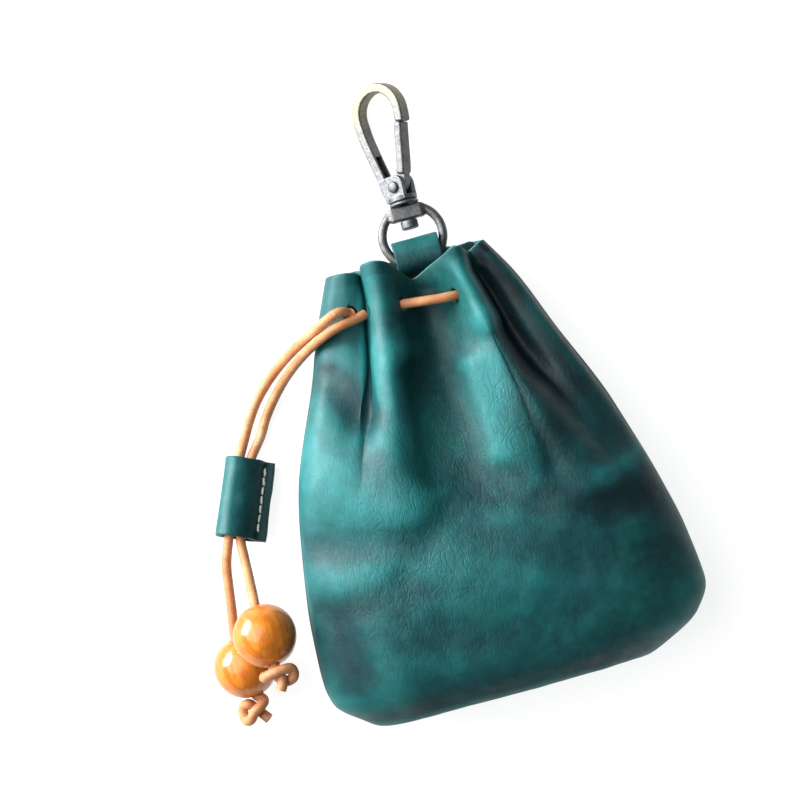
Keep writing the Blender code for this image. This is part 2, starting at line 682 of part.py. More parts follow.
def slider():
    """A leather strip folded round both cords and sewn through its two ends."""
    half = LEATHER / 2
    centre, radius = (4.5, 4.25), 3.5
    line = [(14.5, half), (10.0, half), (centre[0] + 1.0, half)]
    line += arc(centre, radius, -90, -262, 13)
    line += [(7.0, 7.2), (9.5, 5.4), (10.9, 3.5), (11.9, 2.62), (14.5, 2.55)]
    sleeve = strip("slider", line, LEATHER, 0.0, SLIDER_LENGTH,
                   lambda a, b, c: in_slider(a, c, b), leather())
    stitch_z = 2.55 + half + TOUCH_GAP + THREAD_RADIUS
    ends = [in_slider(12.6, 1.6, stitch_z), in_slider(12.6, SLIDER_LENGTH - 1.6, stitch_z)]
    stitching = tube("slider_stitching", even(ends, count=9), 2 * THREAD_RADIUS, thread())
    axis = empty("slider_axis", SLIDER_CORNER)
    for obj in (sleeve, stitching):
        hang_on(obj, axis)


def through_slider(lanes):
    """A cord's points in the slider, from just above it to just below it."""
    (x0, z0), (x1, z1) = lanes
    shares = (0.0, 0.25, 0.5, 0.75, 1.0)
    return [in_slider(x0 + (x1 - x0) * s, SLIDER_LENGTH * s, z0 + (z1 - z0) * s) for s in shares]


def bead(name, centre, axis):
    """A turned wooden bead, slightly flat at both ends of its bore."""
    start = math.degrees(math.acos(BEAD_FLAT / BEAD_RADIUS))
    rim = [(BEAD_RADIUS * math.sin(math.radians(a)), BEAD_RADIUS * math.cos(math.radians(a)))
           for a in np.linspace(start, 180 - start, 13)]
    profile = [(BEAD_BORE, BEAD_FLAT)] + rim + [(BEAD_BORE, -BEAD_FLAT)]
    obj = turned(name, profile, wood(), segments=24)
    obj.location = mm(centre)
    obj.rotation_mode = "QUATERNION"
    obj.rotation_quaternion = Vector(axis).normalized().to_track_quat("Z", "Y")
    return obj


def knot(name, centre, axis):
    """The outer shape of an overhand knot."""
    mesh = bpy.data.meshes.new(name)
    bm = bmesh.new()
    bmesh.ops.create_uvsphere(bm, u_segments=14, v_segments=9, radius=MM)
    bm.to_mesh(mesh)
    bm.free()
    mesh.transform(Matrix.Diagonal((*KNOT_SIZE, 1.0)))
    mesh.shade_smooth()
    obj = add_object(name, mesh, cord_leather())
    obj.location = mm(centre)
    obj.rotation_mode = "QUATERNION"
    obj.rotation_quaternion = Vector(axis).normalized().to_track_quat("Z", "Y")
    return obj


def cord_end(name, start, lanes, drop, bead_centre, bead_axis, exits):
    """A free end: out of the mouth, through the slider and the bead, to its knot."""
    centre, axis = Vector(bead_centre), Vector(bead_axis).normalized()
    through = [tuple(centre + axis * d) for d in (-BEAD_FLAT, 0.0, BEAD_FLAT + KNOT_OFFSET)]
    route = start + through_slider(lanes) + drop + through
    cord = tube(name, even(smooth_route(route, 8), count=CORD_POINTS), CORD_DIAMETER,
                cord_leather())
    hang_on(cord, exits)
    return centre + axis * (BEAD_FLAT + KNOT_OFFSET + TOUCH_GAP + KNOT_SIZE[2])


def drawstring():
    loop = even(smooth_route(LOOP_ROUTE, 8), count=LOOP_POINTS)
    tube("drawstring_loop", loop, CORD_DIAMETER, cord_leather())
    ends = (("outer", OUTER_ROUTE, SLIDER_OUTER, OUTER_DROP, OUTER_BEAD, OUTER_BEAD_AXIS),
            ("inner", INNER_ROUTE, SLIDER_INNER, INNER_DROP, INNER_BEAD, INNER_BEAD_AXIS))
    exits = empty("cord_exits", (Vector(OUTER_ROUTE[0]) + Vector(INNER_ROUTE[0])) / 2)
    for label, start, lanes, drop, centre, axis in ends:
        at = cord_end(f"drawstring_end_{label}", start, lanes, drop, centre, axis, exits)
        hang_on(knot(f"knot_{label}", at, axis), exits)
        bead(f"bead_{label}", centre, axis)
    slider()


clear_scene()
bag()
seam_threads()
hanging_tab()
hook_group()
drawstring()
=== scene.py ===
"""Looks of the leather drawstring dice bag with its swivel snap hook.

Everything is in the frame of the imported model. Sizes below are in millimetres and go
through mm() or MM once. The bag's base is towards -Y, the hook towards +Y and z = 0 is
the surface that the bag lies on.
"""
import math

import bmesh
import bpy
import numpy as np
from mathutils import Matrix, Vector, noise
from mathutils.bvhtree import BVHTree


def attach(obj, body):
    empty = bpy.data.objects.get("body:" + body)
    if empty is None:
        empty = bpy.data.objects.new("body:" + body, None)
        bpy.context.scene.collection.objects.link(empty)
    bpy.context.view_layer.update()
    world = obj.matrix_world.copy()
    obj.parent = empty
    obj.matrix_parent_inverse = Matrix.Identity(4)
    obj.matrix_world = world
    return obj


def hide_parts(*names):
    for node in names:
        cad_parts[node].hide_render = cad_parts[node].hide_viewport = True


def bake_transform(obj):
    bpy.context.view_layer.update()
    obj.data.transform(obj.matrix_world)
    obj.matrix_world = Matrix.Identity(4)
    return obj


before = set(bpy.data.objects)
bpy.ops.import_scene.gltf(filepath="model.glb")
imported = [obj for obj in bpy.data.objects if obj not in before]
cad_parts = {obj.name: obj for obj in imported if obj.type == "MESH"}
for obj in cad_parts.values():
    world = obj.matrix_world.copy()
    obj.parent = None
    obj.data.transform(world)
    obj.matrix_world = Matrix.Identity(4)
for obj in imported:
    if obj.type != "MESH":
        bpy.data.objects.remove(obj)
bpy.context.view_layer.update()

MM = 0.001

# ---------------------------------------------------------------- camera and cords

CAMERA_OVER = (-14.7, 40.5)     # the point that the camera looks straight down on
CAMERA_HEIGHT = 712.0
CAMERA_TURN = -15.0             # degrees about the viewing direction
CAMERA_FIELD = 18.55            # degrees

CORD_DIAMETER = 2.8
BEAD_RADIUS = 9.0
BEAD_BORE = 1.9
BEAD_FLAT = 8.55
KNOT_OFFSET = 0.8
SLIDER_CORNER = (-68.2, 37.0, 0.0)
SLIDER_HEADING = 21.4
SLIDER_RISE = 11.0
SLIDER_LENGTH = 23.0
LOOP_ROUTE = [
    (-21.9, 67.7, 22.9), (-22.3, 67.4, 19.4), (-22.7, 67.1, 15.2), (-22.3, 66.6, 11.6),
    (-20.4, 66.1, 9.1), (-17.6, 65.9, 7.7), (-14.2, 65.7, 7.2), (-11.2, 65.6, 7.3),
    (-8.4, 65.5, 7.9), (-4.0, 65.4, 8.2), (2.0, 65.3, 8.2), (7.5, 65.2, 7.9),
    (10.8, 65.1, 6.8), (13.4, 65.0, 5.8), (16.2, 65.0, 5.6), (18.8, 65.0, 6.6),
    (21.6, 64.9, 9.0), (22.9, 64.8, 11.8), (21.6, 64.8, 13.8), (18.6, 64.7, 13.6),
    (15.2, 64.7, 13.8), (12.6, 64.7, 16.4), (11.5, 64.8, 19.6), (9.8, 64.8, 22.2),
    (7.0, 64.9, 23.9), (3.5, 65.1, 24.6), (-1.0, 65.6, 24.4), (-5.0, 66.1, 23.6),
    (-8.6, 66.4, 23.0), (-12.2, 66.4, 23.0), (-14.8, 66.4, 23.4)]
OUTER_ROUTE = [
    (-22.5, 67.9, 25.2), (-23.9, 68.4, 26.6), (-26.3, 68.3, 27.4), (-31.0, 66.4, 24.8),
    (-36.0, 64.2, 17.6), (-41.0, 61.8, 10.6), (-46.0, 58.8, 5.4), (-51.0, 54.9, 2.4),
    (-55.6, 50.1, 1.6), (-58.9, 45.2, 1.7), (-61.5, 40.6, 2.5)]
INNER_ROUTE = [
    (-18.0, 66.3, 24.3), (-20.5, 65.6, 25.5), (-26.0, 64.7, 26.9), (-31.0, 63.1, 25.0),
    (-36.0, 60.9, 19.6), (-41.0, 58.0, 12.0), (-46.0, 54.2, 5.2), (-50.6, 49.4, 2.4),
    (-53.8, 45.2, 1.7), (-56.4, 40.8, 2.1)]
SLIDER_OUTER = ((4.3, 3.2), (4.0, 3.4))
SLIDER_INNER = ((7.5, 3.1), (7.4, 3.0))
OUTER_BEAD = (-77.3, -22.0, BEAD_RADIUS)
INNER_BEAD = (-68.6, -13.7, 22.9)
OUTER_BEAD_AXIS = (0.09, -0.99, 0.0)
INNER_BEAD_AXIS = (0.07, -0.95, 0.24)
OUTER_DROP = [(-75.0, 8.0, 8.2), (-76.0, 2.0, 8.7), (-76.9, -5.0, 9.0)]
INNER_DROP = [(-69.5, 8.4, 10.0), (-69.4, 3.4, 13.6), (-69.3, -1.6, 17.6)]


def mm(values):
    return Vector(values) * MM


def smooth_route(points, steps):
    """Catmull-Rom curve through the points, with steps spans between each pair."""
    p = [np.asarray(q, float) for q in points]
    p = [2 * p[0] - p[1]] + p + [2 * p[-1] - p[-2]]
    out = []
    for i in range(1, len(p) - 2):
        for k in range(steps):
            s = k / steps
            out.append(0.5 * (2 * p[i] + (p[i + 1] - p[i - 1]) * s
                              + (2 * p[i - 1] - 5 * p[i] + 4 * p[i + 1] - p[i + 2]) * s ** 2
                              + (3 * p[i] - p[i - 1] - 3 * p[i + 1] + p[i + 2]) * s ** 3))
    return np.array(out + [p[-2]])


def run_of(points):
    """Distance along a line at each of its points."""
    steps = np.linalg.norm(np.diff(points, axis=0), axis=1)
    return np.concatenate([[0.0], np.cumsum(steps)])


def resample(points, at):
    """The same line at the given distances."""
    run = run_of(points)
    return np.stack([np.interp(at, run, points[:, k]) for k in range(points.shape[1])], axis=1)


def even(points, spacing):
    """The same line at equal distances, as near to the spacing as its length allows."""
    points = np.asarray(points, float)
    length = run_of(points)[-1]
    count = max(2, int(round(length / spacing)) + 1)
    return resample(points, np.linspace(0.0, length, count))


def camera():
    data = bpy.data.cameras.new("camera")
    data.sensor_width = 36.0
    data.lens = data.sensor_width / 2 / math.tan(math.radians(CAMERA_FIELD / 2))
    data.clip_start, data.clip_end = 0.05, 10.0
    obj = bpy.data.objects.new("camera", data)
    obj.location = mm((*CAMERA_OVER, CAMERA_HEIGHT))
    obj.rotation_euler = (0.0, 0.0, math.radians(CAMERA_TURN))
    bpy.context.scene.collection.objects.link(obj)
    bpy.context.scene.camera = obj


def tube(name, lines, diameter, surface, sides=7, swell=0.0, seed=0.0):
    """Round strands along lines of points, with filled ends. swell varies the thickness."""
    curve = bpy.data.curves.new(name, "CURVE")
    curve.dimensions = "3D"
    curve.bevel_depth = diameter / 2 * MM
    curve.bevel_resolution = sides
    curve.use_fill_caps = True
    for number, points in enumerate(lines):
        spline = curve.splines.new("POLY")
        spline.points.add(len(points) - 1)
        spline.use_smooth = True
        for i, (target, point) in enumerate(zip(spline.points, points)):
            target.co = (*mm(point), 1.0)
            target.radius = 1.0 + swell * noise.noise((i * 0.31, seed + number * 7.7, 0.0))
    curve.materials.append(surface)
    obj = bpy.data.objects.new(name, curve)
    bpy.context.scene.collection.objects.link(obj)
    return obj


def in_slider(across, down, up):
    """A point given across the slider, down its length and up from its flat side."""
    heading, rise = math.radians(SLIDER_HEADING), math.radians(SLIDER_RISE)
    side = Vector((math.cos(heading), -math.sin(heading), 0.0))
    length = Vector((-math.sin(heading) * math.cos(rise), -math.cos(heading) * math.cos(rise),
                     math.sin(rise)))
    top = length.cross(side)
    return tuple(Vector(SLIDER_CORNER) + side * across + length * down + top * up)


def through_slider(lanes):
    (x0, z0), (x1, z1) = lanes
    shares = (0.0, 0.25, 0.5, 0.75, 1.0)
    return [in_slider(x0 + (x1 - x0) * s, SLIDER_LENGTH * s, z0 + (z1 - z0) * s) for s in shares]


def end_route(start, lanes, drop, bead_centre, bead_axis):
    """A free end: out of the mouth, through the slider and the bead, to its knot."""
    centre, axis = Vector(bead_centre), Vector(bead_axis).normalized()
    through = [tuple(centre + axis * d) for d in (-BEAD_FLAT, 0.0, BEAD_FLAT + KNOT_OFFSET)]
    return start + through_slider(lanes) + drop + through


# ---------------------------------------------------------------- materials

class Surface:
    """A procedural material. Its texture sizes are millimetres in the piece's own space."""

    def __init__(self, name, roughness=0.5, metallic=0.0):
        self.material = bpy.data.materials.new(name)
        self.material.use_nodes = True
        self.tree = self.material.node_tree
        self.shader = self.tree.nodes["Principled BSDF"]
        self.shader.inputs["Roughness"].default_value = roughness
        self.shader.inputs["Metallic"].default_value = metallic
        self.normal = None
        self.place = self.scaled(self.node("TexCoord").outputs["Object"], (1 / MM,) * 3)

    def feed(self, socket, value):
        if isinstance(value, bpy.types.NodeSocket):
            self.tree.links.new(value, socket)
        elif isinstance(value, tuple) and len(socket.default_value) == 4:
            socket.default_value = (*value, 1.0)
        else:
            socket.default_value = value

    def node(self, kind, settings=(), inputs=()):
        made = self.tree.nodes.new("ShaderNode" + kind)
        for key, value in dict(settings).items():
            setattr(made, key, value)
        for key, value in dict(inputs).items():
            self.feed(made.inputs[key], value)
        return made

    def scaled(self, vector, factors):
        return self.node("VectorMath", {"operation": "MULTIPLY"},
                         {0: vector, 1: tuple(factors)}).outputs[0]

    def noise(self, size, detail=3.0, rough=0.5, distortion=0.0, place=None):
        return self.node("TexNoise", {}, {
            "Vector": place or self.place, "Scale": 1 / size, "Detail": detail,
            "Roughness": rough, "Distortion": distortion}).outputs["Fac"]

    def bent(self, size, amount):
        """The piece's own space, pushed about by noise, for uneven cells."""
        push = self.node("TexNoise", {}, {"Vector": self.place, "Scale": 1 / size})
        moved = self.scaled(push.outputs["Color"], (amount,) * 3)
        return self.node("VectorMath", {"operation": "ADD"},
                         {0: self.place, 1: moved}).outputs[0]

    def cells(self, size, place):
        return self.node("TexVoronoi", {"feature": "F1"}, {
            "Vector": place, "Scale": 1 / size}).outputs["Distance"]

    def ramp(self, value, *stops):
        made = self.node("ValToRGB", {}, {"Fac": value})
        elements = made.color_ramp.elements
        while len(elements) < len(stops):
            elements.new(0.5)
        for element, (position, colour) in zip(elements, stops):
            element.position = position
            element.color = (*colour, 1.0) if isinstance(colour, tuple) else (colour,) * 3 + (1.0,)
        return made.outputs["Color"]

    def mix(self, factor, first, second, mode="MIX"):
        made = self.node("Mix", {"data_type": "RGBA", "blend_type": mode},
                         {0: factor, 6: first, 7: second})
        return made.outputs[2]

    def maths(self, operation, first, second):
        """The sum or product of two values, held between 0 and 1."""
        made = self.node("Math", {"operation": operation, "use_clamp": True},
                         {0: first, 1: second})
        return made.outputs[0]

    def attribute(self, name):
        return self.node("Attribute", {"attribute_name": name}).outputs["Fac"]

    def bump(self, height, distance, strength):
        inputs = {"Height": height, "Distance": distance * MM, "Strength": strength}
        if self.normal:
            inputs["Normal"] = self.normal
        self.normal = self.node("Bump", {}, inputs).outputs["Normal"]

    def finished(self, colour=None, roughness=None, **constants):
        if colour:
            self.feed(self.shader.inputs["Base Color"], colour)
        if roughness:
            self.feed(self.shader.inputs["Roughness"], roughness)
        if self.normal:
            self.feed(self.shader.inputs["Normal"], self.normal)
        for key, value in constants.items():
            self.shader.inputs[key.replace("_", " ")].default_value = value
        return self.material


def leather_skin():
    """Oiled full-grain leather: uneven dye, paler where it is pulled over a fold; the same attribute
    also carries painted highlights (paler) and painted shade (near black).
    """
    s = Surface("teal_leather")
    dye = s.ramp(s.noise(19.0, 4.0, 0.55, 0.6), (0.30, (0.0045, 0.044, 0.052)),
                 (0.50, (0.0055, 0.067, 0.073)), (0.70, (0.0060, 0.096, 0.090)))
    mottle = s.ramp(s.noise(2.8, 6.0, 0.66), (0.30, 0.70), (0.70, 1.22))
    colour = s.mix(1.0, dye, mottle, "MULTIPLY")
    pull = s.attribute("pull")
    patchy = s.ramp(s.noise(3.2, 4.0, 0.6), (0.30, 0.60), (0.70, 1.0))
    # Paler teal where the leather is pulled over a fold, and painted highlights where the
    # attribute's light strokes add to it.
    colour = s.mix(s.maths("MULTIPLY", pull, patchy), colour, (0.015, 0.185, 0.188))
    # Painted shade: where the attribute is below 0 the leather is darkened towards near black.
    shaded = s.maths("MULTIPLY", pull, -1.0)
    colour = s.mix(shaded, colour, (0.0030, 0.016, 0.021))
    scuffs = s.ramp(s.noise(0.9, 6.0, 0.72, 1.5), (0.69, 0.0), (0.80, 0.40))
    colour = s.mix(scuffs, colour, (0.05, 0.30, 0.29))
    lengthwise = s.scaled(s.place, (1.0, 0.42, 0.8))
    wrinkles = s.ramp(s.noise(2.3, 2.0, 0.5, 0.9, lengthwise), (0.42, 1.0), (0.50, 0.0),
                      (0.58, 1.0))
    hair_lines = s.ramp(s.noise(1.0, 3.0, 0.6, 0.7), (0.43, 1.0), (0.50, 0.0), (0.57, 1.0))
    worked = s.attribute("crease")
    s.bump(s.noise(6.5, 3.0, 0.5), 0.5, 0.30)
    s.bump(wrinkles, 0.16, s.maths("MULTIPLY", worked, 0.55))
    s.bump(hair_lines, 0.07, s.maths("MULTIPLY", worked, 0.50))
    s.bump(s.cells(0.62, s.bent(1.5, 0.8)), 0.05, 0.40)
    s.bump(s.noise(0.26, 4.0, 0.6), 0.04, 0.45)
    rough = s.ramp(s.noise(5.0, 5.0, 0.65), (0.3, 0.44), (0.7, 0.58))
    return s.finished(colour, rough, Specular_IOR_Level=0.28, Coat_Weight=0.05,
                      Coat_Roughness=0.34)


def leather_edge():
    """The cut through the leather, dyed through and rubbed pale."""
    s = Surface("leather_edge")
    fibres = s.noise(0.22, 5.0, 0.7)
    colour = s.ramp(fibres, (0.30, (0.015, 0.10, 0.105)), (0.70, (0.07, 0.27, 0.27)))
    s.bump(fibres, 0.10, 0.7)
    return s.finished(colour, s.ramp(fibres, (0.3, 0.62), (0.7, 0.82)), Specular_IOR_Level=0.35)


def leather_inside():
    """The napped flesh side."""
    s = Surface("leather_inside")
    nap = s.noise(0.35, 6.0, 0.75, 0.8)
    colour = s.ramp(nap, (0.30, (0.008, 0.036, 0.040)), (0.72, (0.022, 0.085, 0.088)))
    s.bump(nap, 0.14, 0.8)
    return s.finished(colour, s.ramp(nap, (0.3, 0.80), (0.7, 0.95)), Specular_IOR_Level=0.25,
                      Sheen_Weight=0.25, Sheen_Roughness=0.5)


def cord_leather():
    """Vegetable-tanned round cord: tan to pinkish, with darker flecks."""
    s = Surface("cord_leather")
    tone = s.ramp(s.noise(6.5, 3.0, 0.55), (0.30, (0.50, 0.190, 0.070)),
                  (0.52, (0.62, 0.270, 0.115)), (0.72, (0.74, 0.385, 0.205)))
    flecks = s.ramp(s.noise(0.34, 5.0, 0.7), (0.34, 0.62), (0.56, 1.06))
    colour = s.mix(1.0, tone, flecks, "MULTIPLY")
    s.bump(s.noise(1.6, 3.0, 0.5), 0.12, 0.5)
    s.bump(s.noise(0.30, 5.0, 0.65), 0.06, 0.7)
    return s.finished(colour, s.ramp(s.noise(1.0, 3.0), (0.3, 0.46), (0.7, 0.64)),
                      Specular_IOR_Level=0.45)


def bead_wood():
    """Stained and lacquered wood with the grain along the bore."""
    s = Surface("bead_wood")
    along = s.scaled(s.place, (1.0, 1.0, 0.16))
    bands = s.noise(3.2, 4.0, 0.55, 1.0, along)
    fine = s.noise(0.45, 4.0, 0.6, 0.4, s.scaled(s.place, (1.0, 1.0, 0.10)))
    blotch = s.noise(5.0, 4.0, 0.6, 0.5)
    colour = s.ramp(bands, (0.28, (0.50, 0.125, 0.010)), (0.50, (0.68, 0.205, 0.018)),
                    (0.72, (0.82, 0.300, 0.036)))
    colour = s.mix(1.0, colour, s.ramp(fine, (0.30, 0.84), (0.58, 1.03)), "MULTIPLY")
    colour = s.mix(1.0, colour, s.ramp(blotch, (0.30, 0.78), (0.66, 1.10)), "MULTIPLY")
    s.bump(fine, 0.03, 0.35)
    return s.finished(colour, s.ramp(blotch, (0.3, 0.26), (0.7, 0.38)), Coat_Weight=0.55,
                      Coat_Roughness=0.13, Specular_IOR_Level=0.35)


def antique_metal():
    """Gunmetal plating with brassy wear and fine handling marks."""
    s = Surface("antique_metal", metallic=1.0)
    wear = s.ramp(s.noise(6.0, 3.0, 0.5, 0.4), (0.40, 0.0), (0.70, 0.30))
    wear = s.maths("ADD", wear, s.attribute("brass"))
    colour = s.mix(wear, (0.180, 0.186, 0.198), (0.30, 0.290, 0.205))
    grime = s.ramp(s.noise(0.9, 5.0, 0.65), (0.30, 0.60), (0.62, 1.05))
    colour = s.mix(1.0, colour, grime, "MULTIPLY")
    s.bump(s.noise(1.4, 3.0, 0.5), 0.08, 0.35)
    s.bump(s.noise(0.16, 4.0, 0.6), 0.02, 0.45)
    return s.finished(colour, s.ramp(s.noise(0.7, 5.0, 0.65), (0.3, 0.47), (0.7, 0.64)))


def thread():
    """Waxed off-white thread."""
    s = Surface("thread")
    twist = s.noise(0.22, 3.0, 0.6, 0.0, s.scaled(s.place, (1.0, 0.45, 1.0)))
    colour = s.ramp(twist, (0.30, (0.46, 0.45, 0.38)), (0.65, (0.80, 0.79, 0.70)))
    s.bump(twist, 0.10, 0.8)
    return s.finished(colour, s.ramp(twist, (0.3, 0.55), (0.7, 0.75)), Specular_IOR_Level=0.3)


def floor_surface():
    s = Surface("pale_floor", roughness=0.9)
    return s.finished(Base_Color=(0.30, 0.30, 0.30, 1.0), Specular_IOR_Level=0.0,
                      Emission_Color=(1.0, 1.0, 1.0, 1.0), Emission_Strength=0.86)


SKIN, EDGE, INSIDE = leather_skin(), leather_edge(), leather_inside()
CORD, WOOD, METAL, THREAD = cord_leather(), bead_wood(), antique_metal(), thread()


# ---------------------------------------------------------------- mesh helpers

def link(obj):
    bpy.context.scene.collection.objects.link(obj)
    return obj


def raw_mesh(name, points, faces, surfaces=(), kinds=None):
    """A mesh in millimetres, facing outwards. kinds gives each face's place in surfaces."""
    mesh = bpy.data.meshes.new(name)
    mesh.from_pydata([tuple(map(float, p)) for p in points], [], faces)
    bm = bmesh.new()
    bm.from_mesh(mesh)
    bmesh.ops.recalc_face_normals(bm, faces=bm.faces)
    bm.to_mesh(mesh)
    bm.free()
    for surface in surfaces:
        mesh.materials.append(surface)
    if kinds is not None:
        mesh.polygons.foreach_set("material_index", np.asarray(kinds, np.int32))
    return mesh


def evaluated(obj):
    """The object's mesh with its modifiers applied."""
    graph = bpy.context.evaluated_depsgraph_get()
    return bpy.data.meshes.new_from_object(obj.evaluated_get(graph), depsgraph=graph)


def carve(mesh, joins=(), cuts=(), voxel=None):
    """The mesh with others joined on or cut out, and its edges softened by a remesh."""
    obj = link(bpy.data.objects.new("work", mesh))
    helpers = [(link(bpy.data.objects.new("helper", m)), mode)
               for meshes, mode in ((joins, "UNION"), (cuts, "DIFFERENCE")) for m in meshes]
    for helper, mode in helpers:
        modifier = obj.modifiers.new(mode, "BOOLEAN")
        modifier.object, modifier.operation = helper, mode
        modifier.solver, modifier.material_mode = "EXACT", "TRANSFER"
    if voxel:
        remesh = obj.modifiers.new("remesh", "REMESH")
        remesh.mode, remesh.voxel_size = "VOXEL", voxel
        soften = obj.modifiers.new("soften", "SMOOTH")
        soften.factor, soften.iterations = 0.5, 3
    made = evaluated(obj)
    for item in [obj] + [helper for helper, _ in helpers]:
        bpy.data.objects.remove(item, do_unlink=True)
    return made


def piece(name, mesh, body, replaced, matrix=None, surface=None):
    """A finished piece from a mesh in millimetres, riding on a body."""
    mesh.transform(Matrix.Scale(MM, 4))
    if surface:
        mesh.materials.clear()
        mesh.materials.append(surface)
    mesh.shade_smooth()
    mesh.name = name
    obj = link(bpy.data.objects.new(name, mesh))
    if matrix:
        obj.matrix_world = matrix
    return settled(obj, body, replaced)


def settled(obj, body, replaced):
    """A piece on its body, or on none where it is blended across a joint."""
    if body:
        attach(obj, body)
    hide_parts(*replaced)
    return obj


def set_points(mesh, name, values):
    """A value for each point of the mesh, which its material reads."""
    layer = mesh.attributes.new(name, "FLOAT", "POINT")
    layer.data.foreach_set("value", np.asarray(values, np.float32))


def set_by_place(mesh, name, rule):
    """A value for each point, worked out from the points' places in mm."""
    at = np.zeros(3 * len(mesh.vertices), np.float32)
    mesh.vertices.foreach_get("co", at)
    set_points(mesh, name, rule(at.reshape(-1, 3)))


def rounded_box(half_a, half_b, radius, steps=4, along_a=1, along_b=1):
    """Outline of a rectangle with round corners, its straight sides cut into equal steps."""
    corners = [(half_a - radius, half_b - radius, 0), (radius - half_a, half_b - radius, 90),
               (radius - half_a, radius - half_b, 180), (half_a - radius, radius - half_b, 270)]
    outline = []
    for number, (a, b, start) in enumerate(corners):
        for angle in np.linspace(start, start + 90, steps + 1):
            t = math.radians(angle)
            outline.append((a + radius * math.cos(t), b + radius * math.sin(t)))
        splits = along_a if number % 2 == 0 else along_b
        next_a, next_b, _ = corners[(number + 1) % 4]
        end = outline[-1]
        shift = (next_a - a, next_b - b)
        for k in range(1, splits):
            outline.append((end[0] + shift[0] * k / splits, end[1] + shift[1] * k / splits))
    return np.array(outline)


def tube_faces(rings, count):
    """Faces round successive rings of points, closed at the first and the last."""
    last = (rings - 1) * count
    return [[i * count + k, i * count + (k + 1) % count, (i + 1) * count + (k + 1) % count,
             (i + 1) * count + k] for i in range(rings - 1) for k in range(count)] + [
        list(range(count))[::-1], list(range(last, last + count))]


def sweep(path, outline, place=None, end_round=0.3):
    """An outline carried along a path in the XY plane, with softened ends.

    The outline's first value lies in the plane, to the left of the path, the second across it.
    """
    path = np.asarray(path, float)
    run = np.gradient(path, axis=0)
    run /= np.linalg.norm(run, axis=1, keepdims=True)
    thinnest = np.abs(outline).max(axis=0).min()
    eases = [math.radians(a) for a in (30, 60, 85)]
    caps = [(end_round * math.sin(e), 1 - end_round / thinnest * (1 - math.cos(e)))
            for e in eases]
    rings = [(0, -ahead, share) for ahead, share in caps[::-1]]
    rings += [(i, 0.0, 1.0) for i in range(len(path))]
    rings += [(len(path) - 1, ahead, share) for ahead, share in caps]
    points = []
    for i, ahead, share in rings:
        (x, y), (dx, dy) = path[i], run[i]
        for a, b in outline:
            a, b = a * share, b - math.copysign(min(abs(b), (1 - share) * thinnest), b)
            points.append((x + dx * ahead - dy * a, y + dy * ahead + dx * a, b))
    if place:
        points = [place(*p) for p in points]
    return raw_mesh("sweep", points, tube_faces(len(rings), len(outline)))


def prism(outline, low, high):
    points = [(a, b, c) for c in (low, high) for a, b in outline]
    return raw_mesh("prism", points, tube_faces(2, len(outline)))


def bar(start, end, radius, sides=40):
    """A round bar between two points."""
    start, end = Vector(start), Vector(end)
    turn = (end - start).to_track_quat("Z", "Y").to_matrix().to_4x4()
    mesh = bpy.data.meshes.new("bar")
    bm = bmesh.new()
    bmesh.ops.create_cone(bm, cap_ends=True, segments=sides, radius1=radius, radius2=radius,
                          depth=(end - start).length,
                          matrix=Matrix.Translation((start + end) / 2) @ turn)
    bm.to_mesh(mesh)
    bm.free()
    return mesh


def turned(profile, segments=64, closed=False):
    """A profile of radius and height turned about Z: a loop, or closed at the axis."""
    count = len(profile)
    points = [(r * math.cos(a), r * math.sin(a), h)
              for a in np.linspace(0, 2 * math.pi, segments, endpoint=False)
              for r, h in profile]
    faces = []
    for ring in range(segments):
        after = (ring + 1) % segments
        for i in range(count if not closed else count - 1):
            j = (i + 1) % count
            faces.append([ring * count + i, after * count + i, after * count + j,
                          ring * count + j])
    if closed:
        faces.append([k * count for k in range(segments)])
        faces.append([k * count + count - 1 for k in range(segments)][::-1])
    return raw_mesh("turned", points, faces)


def arc(centre, radius, start, end, count):
    return [(centre[0] + radius * math.cos(math.radians(a)),
             centre[1] + radius * math.sin(math.radians(a)))
            for a in np.linspace(start, end, count)]


# ---------------------------------------------------------------- bag panels

LEATHER = 1.5
SEAM_GAP = 0.3
HOLE_RADIUS = 2.1
HOLE_DEPTH = 5.0
BASE_Y = -47.5
TIE_Y = 65.0
LIP_Y = 69.0
PLEAT_START_Y = -14.0
PLEAT_FULL_Y = 60.0
SEAM_Z = 13.0
SEAM_ROUND = 0.9        # radius of the leather where it turns into a seam
ROW_STEP = 0.9
RIM_ROWS = 14
EDGE_SHARES = (0.0, 0.10, 0.28, 0.52, 0.85)     # millimetres from a seam, close together
SEAM_LINE = (2.9, 0.65, 0.32)   # the seam allowance's print: how far in, half width, depth

# The bag from its base to its mouth:
# y, centre x, half width, front depth, back depth, height of the side seam
STATIONS = [
    (BASE_Y, -4.5, 34.0, 0.0, 0.0, 16.0),
    (BASE_Y, -4.5, 38.5, 9.0, 10.0, 16.0),
    (-44.0, -2.9, 46.0, 13.4, 14.6, 16.3),
    (-37.9, -1.6, 53.6, 16.6, 17.2, 17.0),
    (-30.0, -0.35, 56.1, 18.4, 18.2, 17.5),
    (-15.0, -0.8, 55.0, 19.8, 18.3, 17.5),
    (0.0, -1.4, 52.4, 19.6, 18.3, 17.5),
    (25.0, -2.4, 46.2, 17.5, 17.5, 17.2),
    (50.0, -2.35, 36.0, 14.5, 12.5, 15.2),
    (TIE_Y, -2.45, 30.35, 12.5, 10.0, SEAM_Z),
    (79.0, -3.0, 23.35, 11.5, 9.5, SEAM_Z),
]
FRONT_NECK = [
    (-32.8, 13.0), (-32.1, 18.0), (-29.5, 21.4), (-25.0, 23.0), (-20.8, 22.9), (-18.9, 22.3),
    (-18.0, 20.4), (-17.5, 22.6), (-16.6, 26.2), (-13.4, 28.5), (-9.4, 27.0),
    (-5.8, 21.6), (-1.6, 17.8), (3.0, 18.8), (7.0, 22.8), (11.2, 28.0),
    (14.5, 27.4), (16.1, 22.8), (17.4, 16.8), (21.6, 19.0), (26.0, 18.6), (27.9, 13.0)]
